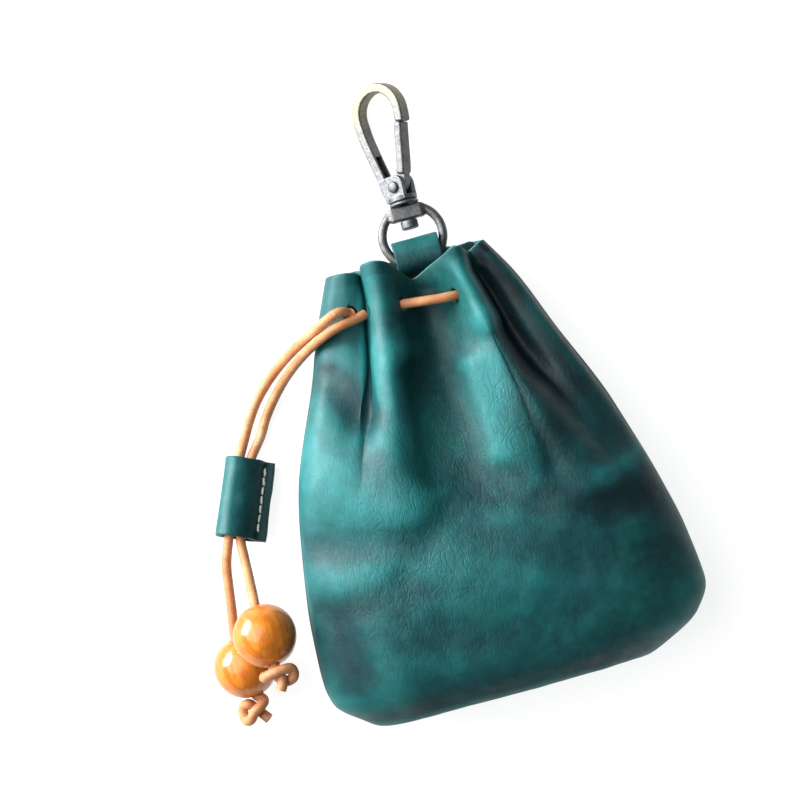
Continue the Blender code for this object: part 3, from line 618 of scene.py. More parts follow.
BACK_NECK = [
    (-32.8, 13.0), (-31.8, 8.5), (-28.0, 5.0), (-23.5, 4.2), (-19.6, 5.8), (-17.0, 9.8),
    (-13.7, 11.2), (-11.4, 8.2), (-9.4, 4.7), (0.0, 3.6), (9.8, 4.3), (12.0, 6.9),
    (14.0, 8.8), (17.2, 8.2), (19.7, 5.4), (23.2, 4.8), (26.6, 8.0), (27.9, 13.0)]
FRONT_RIM = [
    (-26.4, 79.2, 13.0), (-25.9, 79.3, 17.8), (-24.2, 79.2, 21.6), (-20.8, 78.8, 23.4),
    (-18.0, 78.2, 22.8), (-17.0, 77.8, 21.4), (-16.5, 77.6, 18.8), (-16.2, 79.0, 22.4),
    (-15.3, 79.8, 26.4), (-12.0, 79.7, 28.8), (-8.3, 78.6, 27.4), (-5.4, 75.6, 22.6),
    (-2.2, 72.6, 18.8), (2.5, 74.6, 20.4), (6.6, 76.3, 24.2), (10.2, 77.8, 28.0), (12.9, 77.4, 27.2),
    (14.0, 76.4, 22.8), (15.0, 76.2, 17.6), (17.6, 77.4, 19.0), (19.6, 78.3, 17.6),
    (20.3, 78.5, 13.0)]
BACK_RIM = [
    (-26.4, 79.2, 13.0), (-25.8, 79.3, 9.0), (-23.0, 79.4, 5.6), (-19.6, 79.4, 4.8),
    (-16.8, 79.3, 6.4), (-14.8, 78.5, 9.8), (-12.3, 78.2, 10.9), (-10.7, 78.6, 8.2),
    (-9.0, 79.3, 4.7), (0.0, 79.5, 3.8), (9.4, 79.6, 4.6), (11.2, 79.3, 7.0),
    (12.8, 79.0, 8.4), (14.4, 79.0, 8.2), (16.2, 79.0, 6.2), (18.2, 79.0, 6.2),
    (19.8, 78.8, 9.0), (20.3, 78.5, 13.0)]

# The same section lower down, where the second fold has run out into the first
FRONT_LOW = [
    (-32.8, 13.0), (-32.1, 18.0), (-29.5, 21.2), (-25.0, 23.0), (-21.6, 24.0), (-19.4, 24.8),
    (-18.6, 25.2), (-17.8, 25.6), (-16.4, 26.4), (-13.4, 27.2), (-9.4, 25.4),
    (-5.8, 21.8), (-1.6, 18.6), (3.0, 19.6), (7.0, 23.0), (11.2, 28.0),
    (14.5, 27.2), (16.2, 22.6), (17.8, 17.6), (21.6, 17.9), (26.0, 17.2), (27.9, 13.0)]
FOLD_END_Y = (12.0, 50.0)       # between these heights the second fold comes up

# Painted light and shade on the front: paler (above 0) on ridges and slopes that face the light,
# darker (below 0) in shaded valleys, on the right side and along the base
FRONT_PAINTED_LIGHT = [
    ((-22.0, 76.0), (-27.0, 56.0), 5.0, 0.45),
    ((-14.0, 79.0), (-20.0, 40.0), 3.0, 0.55),
    ((-42.0, 32.0), (-34.0, 14.0), 9.0, 0.75),
    ((13.0, 74.0), (12.0, 34.0), 3.6, 0.75),
    ((8.0, 42.0), (9.0, 24.0), 6.0, 0.85),
    ((-12.0, 30.0), (-16.0, 6.0), 6.0, 0.30),
    ((-44.0, -2.0), (-18.0, -6.0), 5.0, 0.40),
    ((-12.0, -16.0), (12.0, -24.0), 9.0, 0.20),
    ((18.0, 74.0), (24.0, 20.0), 5.5, -0.90),
    ((24.0, 72.0), (33.0, 34.0), 7.0, -0.65),
    ((36.0, 40.0), (46.0, 0.0), 12.0, -0.55),
    ((26.0, 2.0), (44.0, -8.0), 9.0, -0.50),
    ((-2.0, 66.0), (-9.0, 42.0), 4.5, -0.60),
    ((-31.0, 58.0), (-25.0, 40.0), 5.0, -0.35),
    ((-48.0, -12.0), (-44.0, -38.0), 8.0, -0.50),
    ((-30.0, -43.0), (24.0, -43.0), 7.0, -0.55),
    ((30.0, -34.0), (50.0, -30.0), 8.0, -0.50),
]

# Where the front has the most small creases: start, end, half width
CREASED = ((-24.0, -6.0), (8.0, 34.0), 22.0)

# Soft folds and hollows pressed into the leather: start, end, half width, height
FRONT_FOLDS = [
    ((-32.0, 52.0), (-28.0, 40.0), 6.0, -2.0),
    ((-34.0, 22.0), (-24.0, 12.0), 9.0, 1.6),
    ((-46.0, 6.0), (-26.0, 3.0), 5.5, -0.8),
    ((-44.0, -6.0), (-24.0, -4.0), 6.0, 0.9),
    ((-49.0, -12.0), (-45.0, -30.0), 7.0, -1.1),
    ((-38.0, -18.0), (-34.0, -38.0), 6.5, 1.0),
    ((-21.0, 30.0), (-17.0, 10.0), 5.0, 0.9),
    ((-8.0, 46.0), (-10.0, 20.0), 5.5, -2.2),
    ((-26.0, -6.0), (-2.0, 16.0), 4.5, -0.9),
    ((7.0, 44.0), (9.0, 20.0), 5.0, 1.9),
    ((2.0, 10.0), (14.0, 4.0), 5.0, -0.8),
    ((15.5, 50.0), (22.0, 14.0), 5.0, -2.6),
    ((22.0, 6.0), (34.0, -2.0), 6.5, -1.4),
    ((27.0, 32.0), (36.0, 4.0), 6.0, 1.0),
    ((30.0, 4.0), (45.0, 8.0), 4.5, 1.0),
    ((24.0, -14.0), (46.0, -20.0), 7.0, -0.9),
    ((-8.0, -8.0), (6.0, -16.0), 8.0, 0.9),
    ((-18.0, -26.0), (10.0, -34.0), 7.0, -0.7),
]
BACK_FOLDS = [
    ((-30.0, 40.0), (-36.0, 10.0), 7.0, 0.9),
    ((-14.0, 52.0), (-22.0, 22.0), 6.0, -1.2),
    ((14.0, 52.0), (22.0, 20.0), 6.0, -1.2),
    ((2.0, 48.0), (0.0, 28.0), 7.0, 0.7),
]


def monotone(xs, ys, x):
    """Smooth interpolation that never overshoots its stations."""
    xs, ys = np.asarray(xs, float), np.asarray(ys, float)
    slopes = np.diff(ys) / np.diff(xs)
    tangents = np.zeros_like(ys)
    for i in range(1, len(xs) - 1):
        if slopes[i - 1] * slopes[i] > 0:
            tangents[i] = 2 * slopes[i - 1] * slopes[i] / (slopes[i - 1] + slopes[i])
    tangents[0], tangents[-1] = slopes[0], slopes[-1]
    i = int(np.clip(np.searchsorted(xs, x) - 1, 0, len(xs) - 2))
    h = xs[i + 1] - xs[i]
    s = (x - xs[i]) / h
    return ((1 + 2 * s) * (1 - s) ** 2 * ys[i] + s * (1 - s) ** 2 * h * tangents[i]
            + s * s * (3 - 2 * s) * ys[i + 1] + s * s * (s - 1) * h * tangents[i + 1])


def station(run):
    marks = range(len(STATIONS))
    return [monotone(marks, [row[k] for row in STATIONS], run) for k in range(6)]


def station_at(y):
    low, high = 1.0, len(STATIONS) - 1.0
    for _ in range(24):
        mid = 0.5 * (low + high)
        low, high = (mid, high) if station(mid)[0] < y else (low, mid)
    return low


def smoothstep(x):
    x = np.clip(x, 0.0, 1.0)
    return x * x * (3 - 2 * x)


def columns_along(length, count):
    """Distances from one seam to the other, close together beside the seams."""
    near = np.array(EDGE_SHARES)
    middle = np.linspace(near[-1], length - near[-1], count - 2 * (len(near) - 1))
    return np.concatenate([near[:-1], middle, (length - near[:-1])[::-1]])


def section(points, count):
    points = np.asarray(points, float)
    return resample(points, columns_along(run_of(points)[-1], count))


def pillow(centre, half, depth, seam_z, sign, count):
    """Half of a rounded flat oval from the left seam to the right seam."""
    angles = np.linspace(0.0, math.pi, 721)
    fullness = 2 / 2.5
    x = centre - half * np.sign(np.cos(angles)) * np.abs(np.cos(angles)) ** fullness
    z = seam_z + sign * depth * np.abs(np.sin(angles)) ** fullness
    return section(np.stack([x, z], axis=1), count)


def panel_grid(sign, columns):
    """Outer surface of one panel as rows of points from the base's middle to the rim."""
    neck_list, rim_list = (FRONT_NECK, FRONT_RIM) if sign > 0 else (BACK_NECK, BACK_RIM)
    neck = section(smooth_route(neck_list, 12), columns)
    ends_low = section(smooth_route(FRONT_LOW if sign > 0 else BACK_NECK, 12), columns)
    rim = section(smooth_route(rim_list, 12), columns)
    tie = station(station_at(TIE_Y))
    depth_at = 3 if sign > 0 else 4
    first = [0.0, 0.015, 0.035, 0.065, 0.10] + list(np.linspace(0.16, 1.0, 11))
    runs = first + list(np.linspace(1.0, 3.0, 18))[1:]
    marks = np.arange(STATIONS[3][0] + ROW_STEP, LIP_Y, ROW_STEP)
    runs += [station_at(y) for y in marks]
    grid = []
    for run in runs:
        y, centre, half, front, back, seam_z = station(run)
        depth = (front, back)[sign < 0]
        low = pillow(centre, half, max(depth, 0.0), seam_z, sign, columns)
        share = smoothstep((y - PLEAT_START_Y) / (PLEAT_FULL_Y - PLEAT_START_Y))
        wide, deep = half / tie[2], depth / tie[depth_at]
        crisp = smoothstep((y - FOLD_END_Y[0]) / (FOLD_END_Y[1] - FOLD_END_Y[0]))
        pleats = ends_low * (1 - crisp) + neck * crisp
        high = np.stack([centre + (pleats[:, 0] - tie[1]) * wide,
                         seam_z + (pleats[:, 1] - SEAM_Z) * deep], axis=1)
        flat = low * (1 - share) + high * share
        row = np.column_stack([flat[:, 0], np.full(columns, y), flat[:, 1]])
        row[:, 2] = np.maximum(row[:, 2] + sign * SEAM_GAP / 2, 0.0)
        grid.append(row)
    top, below = grid[-1], grid[-3]
    rim = rim + np.array([0.0, 0.0, sign * SEAM_GAP / 2])
    start = (top - below) / (2 * ROW_STEP) * (rim[:, 1:2] - top[:, 1:2])
    end = rim - top
    for s in np.linspace(0.0, 1.0, RIM_ROWS + 1)[1:]:
        grid.append((1 + 2 * s) * (1 - s) ** 2 * top + s * (1 - s) ** 2 * start
                    + s * s * (3 - 2 * s) * rim + s * s * (s - 1) * end)
    return np.array(grid)


def normals_of(points, sign):
    across = np.gradient(points, axis=1)
    along = np.gradient(points, axis=0)
    normal = np.cross(across, along) * sign
    normal[0] = (0.0, -1.0, 0.0)
    normal /= np.linalg.norm(normal, axis=2, keepdims=True)
    normal[:, (0, -1), 2] = 0.0
    return normal / np.linalg.norm(normal, axis=2, keepdims=True)


def field(points, size, seed):
    """Smooth random values over a grid of points."""
    flat = points.reshape(-1, 3) / size
    values = [noise.noise((x + seed, y, z)) for x, y, z in flat]
    return np.array(values).reshape(points.shape[:2])


def stroke(points, start, end, width):
    """1 along a line seen from above, fading to nothing beside it."""
    a, b = np.array(start), np.array(end)
    flat = points[:, :, :2] - a
    along = np.clip(flat @ (b - a) / ((b - a) @ (b - a)), 0.0, 1.0)
    gap = np.linalg.norm(flat - along[..., None] * (b - a), axis=2)
    return np.exp(-(gap / width) ** 2)


def from_edges(points):
    """Each point's distance along its row to the nearer seam, and along its column to the base."""
    steps = np.linalg.norm(np.diff(points, axis=1), axis=2)
    left = np.concatenate([np.zeros((len(points), 1)), np.cumsum(steps, axis=1)], axis=1)
    seam = np.minimum(left, left[:, -1:] - left)
    rows = np.linalg.norm(np.diff(points, axis=0), axis=2)
    base = np.concatenate([np.zeros((1, points.shape[1])), np.cumsum(rows, axis=0)], axis=0)
    return seam, base


def relief(points, sign, seam, base):
    """Height of the soft folds, hollows and unevenness over the moulded panel."""
    height = 0.35 * field(points, 15.0, 3.0 * sign) + 0.10 * field(points, 5.0, 11.0 + sign)
    for start, end, width, size in (FRONT_FOLDS if sign > 0 else BACK_FOLDS):
        height += size * stroke(points, start, end, width)
    height *= smoothstep(seam / 8.0) * smoothstep(base / 8.0)
    height *= smoothstep((LIP_Y - 4.0 - points[..., 1]) / 16.0)
    far, wide, deep = SEAM_LINE
    height -= deep * np.exp(-((np.minimum(seam, base) - far) / wide) ** 2)
    if sign < 0:
        height = np.minimum(height, points[..., 2] - 0.02)
        height *= smoothstep((points[..., 2] - 0.3) / 2.5)
    return height


def turned_in(distance):
    """How far the surface has gone in at a distance from a seam."""
    gap = np.clip(SEAM_ROUND - distance, 0.0, SEAM_ROUND)
    return SEAM_ROUND - np.sqrt(SEAM_ROUND ** 2 - gap ** 2)


def pull_of(points, normal, reach=5):
    """0 to 1, largest where the leather is stretched over a fold."""
    bulge = np.zeros(points.shape[:2])
    middle = points[reach:-reach, reach:-reach]
    for axis in (0, 1):
        ahead = np.roll(points, -reach, axis=axis)[reach:-reach, reach:-reach]
        behind = np.roll(points, reach, axis=axis)[reach:-reach, reach:-reach]
        bend = middle - 0.5 * (ahead + behind)
        bulge[reach:-reach, reach:-reach] += np.sum(
            bend * normal[reach:-reach, reach:-reach], axis=2)
    return np.clip(bulge * 1.1, 0.0, 1.0)


def wall_crossings(outer, inner):
    """Where the drawstring goes through the leather, with its direction there."""
    middle = 0.5 * (outer + inner)
    rows, columns = middle.shape[:2]
    faces = [(r * columns + c, r * columns + c + 1, (r + 1) * columns + c + 1,
              (r + 1) * columns + c) for r in range(rows - 1) for c in range(columns - 1)]
    tree = BVHTree.FromPolygons([Vector(p) for p in middle.reshape(-1, 3)], faces)
    route = even(smooth_route([OUTER_ROUTE[0]] + LOOP_ROUTE + [INNER_ROUTE[0]], 8), spacing=0.2)
    found = []
    for i in range(1, len(route)):
        step = Vector(route[i] - route[i - 1])
        hit = tree.ray_cast(Vector(route[i - 1]), step.normalized(), step.length)[0]
        if hit:
            ahead, behind = route[min(i + 4, len(route) - 1)], route[max(i - 4, 0)]
            found.append((hit, Vector(ahead - behind).normalized()))
    return found


def shell_faces(columns, skin_rows, lip_rows):
    """Faces of the skin, the lip and the inside, and each one's kind: 0, 1 or 2."""
    rows = 2 * skin_rows + lip_rows
    faces, kinds = [], []
    for r in range(rows - 1):
        kind = 0 if r < skin_rows - 1 else (1 if r < skin_rows + lip_rows else 2)
        for c in range(columns - 1):
            faces.append((r * columns + c, r * columns + c + 1, (r + 1) * columns + c + 1,
                          (r + 1) * columns + c))
            kinds.append(kind)
    for c in range(columns - 1):
        faces.append(((rows - 1) * columns + c, (rows - 1) * columns + c + 1, c + 1, c))
        kinds.append(2)
    for side in (0, columns - 1):
        for r in range(skin_rows - 1):
            faces.append((r * columns + side, (r + 1) * columns + side,
                          (rows - 2 - r) * columns + side, (rows - 1 - r) * columns + side))
            kinds.append(2)
        faces.append([r * columns + side for r in range(skin_rows - 1, skin_rows + lip_rows + 1)])
        kinds.append(1)
    return faces, kinds


def panel(name, sign, columns):
    moulded = panel_grid(sign, columns)
    rough_normal = normals_of(moulded, sign)
    seam, base = from_edges(moulded)
    outer = moulded + rough_normal * relief(moulded, sign, seam, base)[..., None]
    normal = normals_of(outer, sign)
    inner = outer - LEATHER * normal
    pull = pull_of(outer, normal)
    # Painted light and shade added to the pull: paler on lit ridges, darker in shaded valleys and on
    # the right side.
    for start, end, width, tone in FRONT_PAINTED_LIGHT if sign > 0 else ():
        pull += tone * stroke(outer, start, end, width)
    skin = outer - normal * (turned_in(seam) + turned_in(base))[..., None]
    rim_up = outer[-1] - outer[-2]
    rim_up /= np.linalg.norm(rim_up, axis=1, keepdims=True)
    lips = [outer[-1] * (1 - s) + inner[-1] * s + rim_up * 0.28 * math.sin(math.pi * s) ** 0.5
            for s in (0.04, 0.15, 0.35, 0.65, 0.85, 0.96)]
    layers = np.concatenate([skin, np.array(lips), inner[::-1]])
    faces, kinds = shell_faces(columns, len(skin), len(lips))
    mesh = raw_mesh(name, layers.reshape(-1, 3), faces, (SKIN, EDGE, INSIDE), kinds)
    zone = stroke(outer, *CREASED) if sign > 0 else np.full(outer.shape[:2], 0.25)
    for label, on_skin in (("pull", pull), ("crease", 0.25 + 0.75 * zone)):
        values = np.zeros(layers.shape[:2])
        values[:len(skin)] = on_skin
        set_points(mesh, label, values.ravel())
    punches = []
    for point, axis in wall_crossings(outer, inner):
        punch = bar(point - axis * HOLE_DEPTH / 2, point + axis * HOLE_DEPTH / 2, HOLE_RADIUS)
        punch.materials.append(EDGE)
        punches.append(punch)
    mesh = carve(mesh, cuts=punches)
    obj = piece(name, mesh, "bag", [name.replace("leather", "panel")])
    return obj


def bag():
    panel("front_leather", 1, 250)
    panel("back_leather", -1, 170)


# ---------------------------------------------------------------- hanging tab

THREAD_RADIUS = 0.35
TAB_X = (-5.7, 7.7)
TAB_BACK_Z = 6.9
TAB_FOLD_Y = 79.9
TOUCH_GAP = 0.3
RING_PIVOT = (1.0, 76.3, 10.4)


def uneven(mesh, size, height, seed):
    """Press soft unevenness into a mesh, along its normals."""
    mesh.update()
    normals = [v.normal.copy() for v in mesh.vertices]
    for vertex, normal in zip(mesh.vertices, normals):
        place = vertex.co / size + Vector((seed, 0.0, 0.0))
        vertex.co += normal * height * noise.noise(place)
    return mesh


def hanging_tab():
    """A leather strip folded over the ring, its two ends sewn together inside the mouth."""
    centre_z = RING_PIVOT[2] + 0.3
    radius = centre_z - TAB_BACK_Z
    front_z = TAB_BACK_Z + LEATHER + TOUCH_GAP
    line = [(69.5, TAB_BACK_Z), (72.5, TAB_BACK_Z), (76.0, TAB_BACK_Z)]
    line += arc((TAB_FOLD_Y, centre_z), radius, -90, 90, 13)
    line += [(77.0, centre_z + radius - 0.1), (74.8, 13.0), (73.2, 10.3), (72.0, front_z + 0.1),
             (69.5, front_z)]
    path = even(smooth_route(line, 6), spacing=0.35)
    half = (TAB_X[1] - TAB_X[0]) / 2
    middle = (TAB_X[1] + TAB_X[0]) / 2
    outline = rounded_box(LEATHER / 2, half, 0.35, 3, 1, 22)
    mesh = sweep(path, outline, lambda y, z, x: (x + middle, y, z), 0.2)
    mesh = uneven(mesh, 4.5, 0.22, 4.0)
    # Paler at the fold over the ring; painted shade darkens the tab towards its ends inside the
    # mouth.
    set_by_place(mesh, "pull", lambda at: 0.30 - 0.95 * smoothstep((82.0 - at[:, 1]) / 9.0))
    set_points(mesh, "crease", np.full(len(mesh.vertices), 0.35))
    obj = piece("leather_tab", mesh, None, ["hanging_tab"], surface=SKIN)
    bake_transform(obj)


# ---------------------------------------------------------------- ring and hook

RING_SLOPE = -4.2
RING_RADIUS = 8.7
RING_WIRE = 1.3
BOSS_INNER = 13.6
BOSS_OUTER = 17.6
PIN_RADIUS = 1.25
PIN_BORE = 1.55
HOOK_ROLL = -38.0
HOOK_BASE = 19.1
GATE_PIVOT = (0.1, 23.4)
LOOP_CENTRE = 45.3
LOOP_RADIUS = 7.5
LINK = Matrix.Translation(mm(RING_PIVOT)) @ Matrix.Rotation(math.radians(RING_SLOPE), 4, "X")
TURN = LINK @ Matrix.Rotation(math.radians(HOOK_ROLL), 4, "Y")
METAL_VOXEL = 0.14


def metal_piece(name, mesh, body, replaced, matrix):
    return piece(name, mesh, body, [replaced], matrix, METAL)


def torus(radius, thickness, centre_y, count=110, sides=28):
    angles = np.linspace(0, 2 * math.pi, count, endpoint=False)
    turns = np.linspace(0, 2 * math.pi, sides, endpoint=False)
    points = [((radius + thickness * math.cos(t)) * math.sin(a),
               centre_y - (radius + thickness * math.cos(t)) * math.cos(a),
               thickness * math.sin(t)) for a in angles for t in turns]
    faces = [[i * sides + k, i * sides + (k + 1) % sides,
              (i + 1) % count * sides + (k + 1) % sides, (i + 1) % count * sides + k]
             for i in range(count) for k in range(sides)]
    return raw_mesh("torus", points, faces)


def swivel_ring():
    """A round ring whose top is flattened into the boss that the pin turns in."""
    wire = torus(RING_RADIUS, RING_WIRE, RING_RADIUS)
    block = ring_boss()
    top = bar((0, BOSS_OUTER, 0), (0, BOSS_OUTER + 6, 0), 9)
    bore = bar((0, BOSS_INNER - 2, 0), (0, BOSS_OUTER + 2, 0), PIN_BORE)
    cut = carve(wire, cuts=[top])
    mesh = carve(carve(cut, joins=[block]), cuts=[bore], voxel=METAL_VOXEL)
    metal_piece("swivel_ring", uneven(mesh, 3.0, 0.05, 2.0), "ring_link", "ring", LINK)


def ring_boss():
    """The thick stretch at the ring's top: a straight inner side, fullest in the middle."""
    outer = RING_RADIUS + RING_WIRE
    reach, straight, ease = 5.6, 4.3, 0.35
    points = []
    for u in np.linspace(-reach, reach, 41):
        past = max(0.0, abs(u) - straight)
        low = BOSS_INNER + 0.35 * past ** 2
        high = min(BOSS_OUTER, RING_RADIUS + math.sqrt(outer ** 2 - u ** 2) - 0.05)
        thick = 1.25 + 0.65 * smoothstep((reach - abs(u)) / 1.6)
        points += [(u, low + ease, -thick), (u, low, ease - thick), (u, low, thick - ease),
                   (u, low + ease, thick), (u, high - ease, thick), (u, high, thick - ease),
                   (u, high, ease - thick), (u, high - ease, -thick)]
    sides = 8
    return raw_mesh("boss", points, tube_faces(len(points) // sides, sides))


def along_y(mesh):
    """A turned shape stood on its parent's Y axis."""
    mesh.transform(Matrix.Rotation(math.radians(-90), 4, "X"))
    return mesh


def swivel():
    head = 2.5
    profile = [(0.02, 10.85)] + [(head - 0.5 + 0.5 * math.sin(a), 11.35 - 0.5 * math.cos(a))
                                 for a in np.linspace(0, math.pi / 2, 7)]
    profile += [(head - 0.35 + 0.35 * math.cos(a), 12.95 + 0.35 * math.sin(a))
                for a in np.linspace(0, math.pi / 2, 6)]
    profile += [(PIN_RADIUS + 0.15, 13.3), (PIN_RADIUS, 13.45), (PIN_RADIUS, HOOK_BASE - 0.3),
                (0.02, HOOK_BASE - 0.3)]
    pin = along_y(turned(profile, closed=True))
    metal_piece("pin_with_head", pin, "hook", "swivel_pin", TURN)
    low, high, outer, soft = BOSS_OUTER + TOUCH_GAP, HOOK_BASE - TOUCH_GAP, 4.2, 0.3
    edge = [(outer - soft + soft * math.cos(a), (low + high) / 2 + (high - low - 2 * soft) / 2
             * math.copysign(1, math.sin(a)) + soft * math.sin(a))
            for a in np.linspace(-math.pi / 2, math.pi / 2, 12)]
    washer = [(PIN_BORE, low), *edge, (PIN_BORE, high)]
    metal_piece("collar", along_y(turned(washer)), "hook", "swivel_collar", TURN)


def hook_body():
    """The loop bar with its nose, on two cheeks and a round base."""
    arm = [(-3.1, 19.9), (-3.6, 23.0), (-4.35, 26.8), (-5.6, 32.4), (-6.85, 38.4), (-7.4, 43.0)]
    loop = arc((0.0, LOOP_CENTRE), LOOP_RADIUS, 180, 0, 17)
    nose = [(7.4, 43.0), (7.15, 41.3)]
    path = even(smooth_route(arm + loop + nose, 6), spacing=0.4)
    mesh = sweep(path, rounded_box(1.4, 2.1, 0.55, 5, 3, 4), end_round=0.5)
    cheek = [(-3.6, HOOK_BASE + 0.3), (3.1, HOOK_BASE + 0.3), (3.3, 24.0), (3.0, 25.4),
             (2.2, 26.3), (1.2, 26.6), (-4.9, 26.6), (-4.6, 23.0)]
    cheeks = [prism(cheek, low, low + 1.3) for low in (1.7, -3.0)]
    base = bar((0, HOOK_BASE, 0), (0, HOOK_BASE + 1.3, 0), 4.1)
    u, v = GATE_PIVOT
    bore = bar((u, v, -5), (u, v, 5), 1.35)
    room = bar((u, v, -1.6), (u, v, 1.6), 2.75)
    groove = prism([(-4.7, 24.8), (-1.6, 24.8), (-2.4, 27.4), (-4.0, 33.9), (-6.6, 33.9)],
                   -1.45, 1.45)
    for part in cheeks + [base]:
        mesh = carve(mesh, joins=[part])
    for number, part in enumerate((bore, groove, room)):
        mesh = carve(mesh, cuts=[part], voxel=METAL_VOXEL if number == 2 else None)
    mesh = uneven(mesh, 3.5, 0.06, 6.0)
    set_by_place(mesh, "brass", lambda at: 0.85 * smoothstep((at[:, 1] - 40.0) / 9.0))
    metal_piece("hook_loop_and_cheeks", mesh, "hook", "hook_body", TURN)


def gate():
    """The sprung lever, hinged on the rivet."""
    u, v = GATE_PIVOT
    lever = [(2.9, 27.0), (3.65, 29.3), (4.8, 34.2), (6.35, 40.5)]
    path = even(smooth_route(lever, 8), spacing=0.4)
    mesh = sweep(path, rounded_box(1.2, 2.1, 0.5, 5, 3, 4), end_round=0.35)
    lug = [(a + u, b + v) for a, b in arc((0.0, 0.0), 2.4, 150, 330, 21)]
    lug += [(3.4 + u, 0.6 + v), (4.0 + u, 4.6 + v), (2.0 + u, 5.4 + v)]
    mesh = carve(mesh, joins=[prism(lug, -1.35, 1.35)])
    mesh = carve(mesh, cuts=[bar((u, v, -4), (u, v, 4), 1.3)], voxel=METAL_VOXEL)
    metal_piece("gate_lever", uneven(mesh, 3.0, 0.05, 8.0), "gate_lever", "gate", TURN)


def rivet():
    u, v = GATE_PIVOT
    dome = [(1.7 * math.cos(a), 3.35 + 0.65 * math.sin(a)) for a in np.linspace(0, 1.45, 9)]
    half = [(1.0, 0.0), (1.0, 3.3), (1.68, 3.3)] + dome
    profile = [(r, -h) for r, h in half[::-1]] + half[1:]
    mesh = turned(profile, closed=True)
    mesh.transform(Matrix.Translation((u, v, 0.0)))
    metal_piece("gate_rivet", mesh, "hook", "gate_pin", TURN)


def spring():
    leaf = [(-6.1, 33.5), (-5.45, 30.6), (-4.6, 27.8), (-3.4, 26.2), (-2.3, 25.75)]
    path = even(smooth_route(leaf, 6), spacing=0.3)
    mesh = sweep(path, rounded_box(0.2, 0.8, 0.08, 3), end_round=0.1)
    metal_piece("leaf_spring", mesh, "hook", "gate_spring", TURN)


# ---------------------------------------------------------------- slider

def slider_leather():
    """A leather strip folded round both cords and sewn through its two ends."""
    half = LEATHER / 2
    centre, radius = (4.5, 4.25), 3.5
    line = [(14.5, half), (10.0, half), (centre[0] + 1.0, half)]
    line += arc(centre, radius, -90, -262, 13)
    line += [(7.0, 7.2), (9.5, 5.4), (10.9, 3.5), (11.9, 2.62), (14.5, 2.55)]
    path = even(smooth_route(line, 6), spacing=0.4)
    outline = rounded_box(half, SLIDER_LENGTH / 2, 0.35, 3, 1, 40)
    mesh = sweep(path, outline, lambda a, b, c: in_slider(a, c + SLIDER_LENGTH / 2, b), 0.2)
    mesh = uneven(mesh, 5.0, 0.28, 12.0)
    corner, side = np.array(in_slider(0, 0, 0)), np.array(in_slider(1, 0, 0))
    # Painted light and shade: paler over the rounded fold, darkening to near black towards the
    # stitched flap.
    set_by_place(mesh, "pull", lambda at: 0.5 - 1.15 * smoothstep(
        ((at - corner) @ (side - corner) - 2.0) / 9.0))
    set_points(mesh, "crease", np.full(len(mesh.vertices), 0.25))
    obj = piece("slider_leather", mesh, "cord_slider", ["slider"], surface=SKIN)
    return obj


def slider_thread():
    """Saddle stitches down the slider's free edge."""
    top = 2.55 + LEATHER / 2
    across, first, last, pitch = 12.1, 1.9, SLIDER_LENGTH - 1.9, 2.7
    lines = []
    count = int((last - first) / pitch)
    for k in range(count):
        start = first + k * pitch + 0.25
        end = start + pitch - 0.8
        wander = 0.22 * noise.noise((k * 1.7, 5.0, 0.0))
        lean = 0.28 * noise.noise((k * 2.3, 9.0, 0.0)) + 0.12
        shape = [(across + wander - lean, start, top - 0.45),
                 (across + wander - 0.8 * lean, start + 0.15, top + 0.18),
                 (across + wander, (start + end) / 2, top + 0.34),
                 (across + wander + 0.8 * lean, end - 0.15, top + 0.18),
                 (across + wander + lean, end, top - 0.45)]
        lines.append([in_slider(*p) for p in smooth_route(shape, 5)])
    obj = tube("slider_stitches", lines, 2 * THREAD_RADIUS, THREAD, 4, 0.25, 3.0)
    return settled(obj, "cord_slider", ["slider_stitching"])


# ---------------------------------------------------------------- beads and knots

KNOT_CORD = 3.0         # the cord swells a little where it is bent so tightly

# Each knot from its bead on, as (right, down, up) in mm from where the cord comes out
OUTER_KNOT = [
    (0.0, -2.0, 0.0), (0.1, 0.6, 0.0), (1.7, 2.4, 0.9), (0.7, 3.7, 1.9), (-1.6, 4.7, 2.1),
    (-3.7, 6.6, 1.3), (-5.1, 6.4, -0.2), (-5.3, 4.2, -0.9), (-4.3, 2.4, -0.6), (-2.7, 2.4, 0.0),
    (-1.9, 3.5, -0.9), (-0.9, 5.0, -0.9), (0.2, 6.7, -0.3), (1.2, 8.2, 0.2)]
INNER_KNOT = [
    (0.0, -2.0, 0.0), (0.0, 0.6, -0.2), (-1.4, 2.5, -0.8), (-3.4, 3.0, 0.0), (-3.4, 3.5, 1.6),
    (-0.9, 3.3, 2.6), (2.2, 3.1, 2.2), (4.3, 3.4, 0.8), (4.2, 5.4, -0.4), (2.0, 6.0, -1.2),
    (0.2, 4.4, -1.6), (-0.6, 3.0, -0.4), (0.8, 4.6, 0.8), (0.6, 6.6, 0.9), (-0.4, 8.2, 0.6)]
KNOTS = {"outer": OUTER_KNOT, "inner": INNER_KNOT}


def placed(centre, axis):
    turn = Vector(axis).normalized().to_track_quat("Z", "Y").to_matrix().to_4x4()
    return Matrix.Translation(mm(centre)) @ turn


def bead(label, centre, axis, seed):
    """A turned wooden bead, slightly flat at both ends of its bore."""
    start = math.degrees(math.acos(BEAD_FLAT / BEAD_RADIUS))
    rim = [(BEAD_RADIUS * math.sin(math.radians(a)), BEAD_RADIUS * math.cos(math.radians(a)))
           for a in np.linspace(start, 180 - start, 60)]
    lip = [(BEAD_BORE + 0.35 - 0.35 * math.sin(a), BEAD_FLAT - 0.35 + 0.35 * math.cos(a))
           for a in np.linspace(0, math.pi / 2, 6)]
    profile = lip[::-1] + rim + [(r, -h) for r, h in lip]
    mesh = turned(profile, 96)
    mesh = uneven(mesh, 7.0, 0.12, seed)
    name = f"wooden_bead_{label}"
    return piece(name, mesh, f"{label}_bead", [f"bead_{label}"],
                 placed(centre, axis), WOOD)


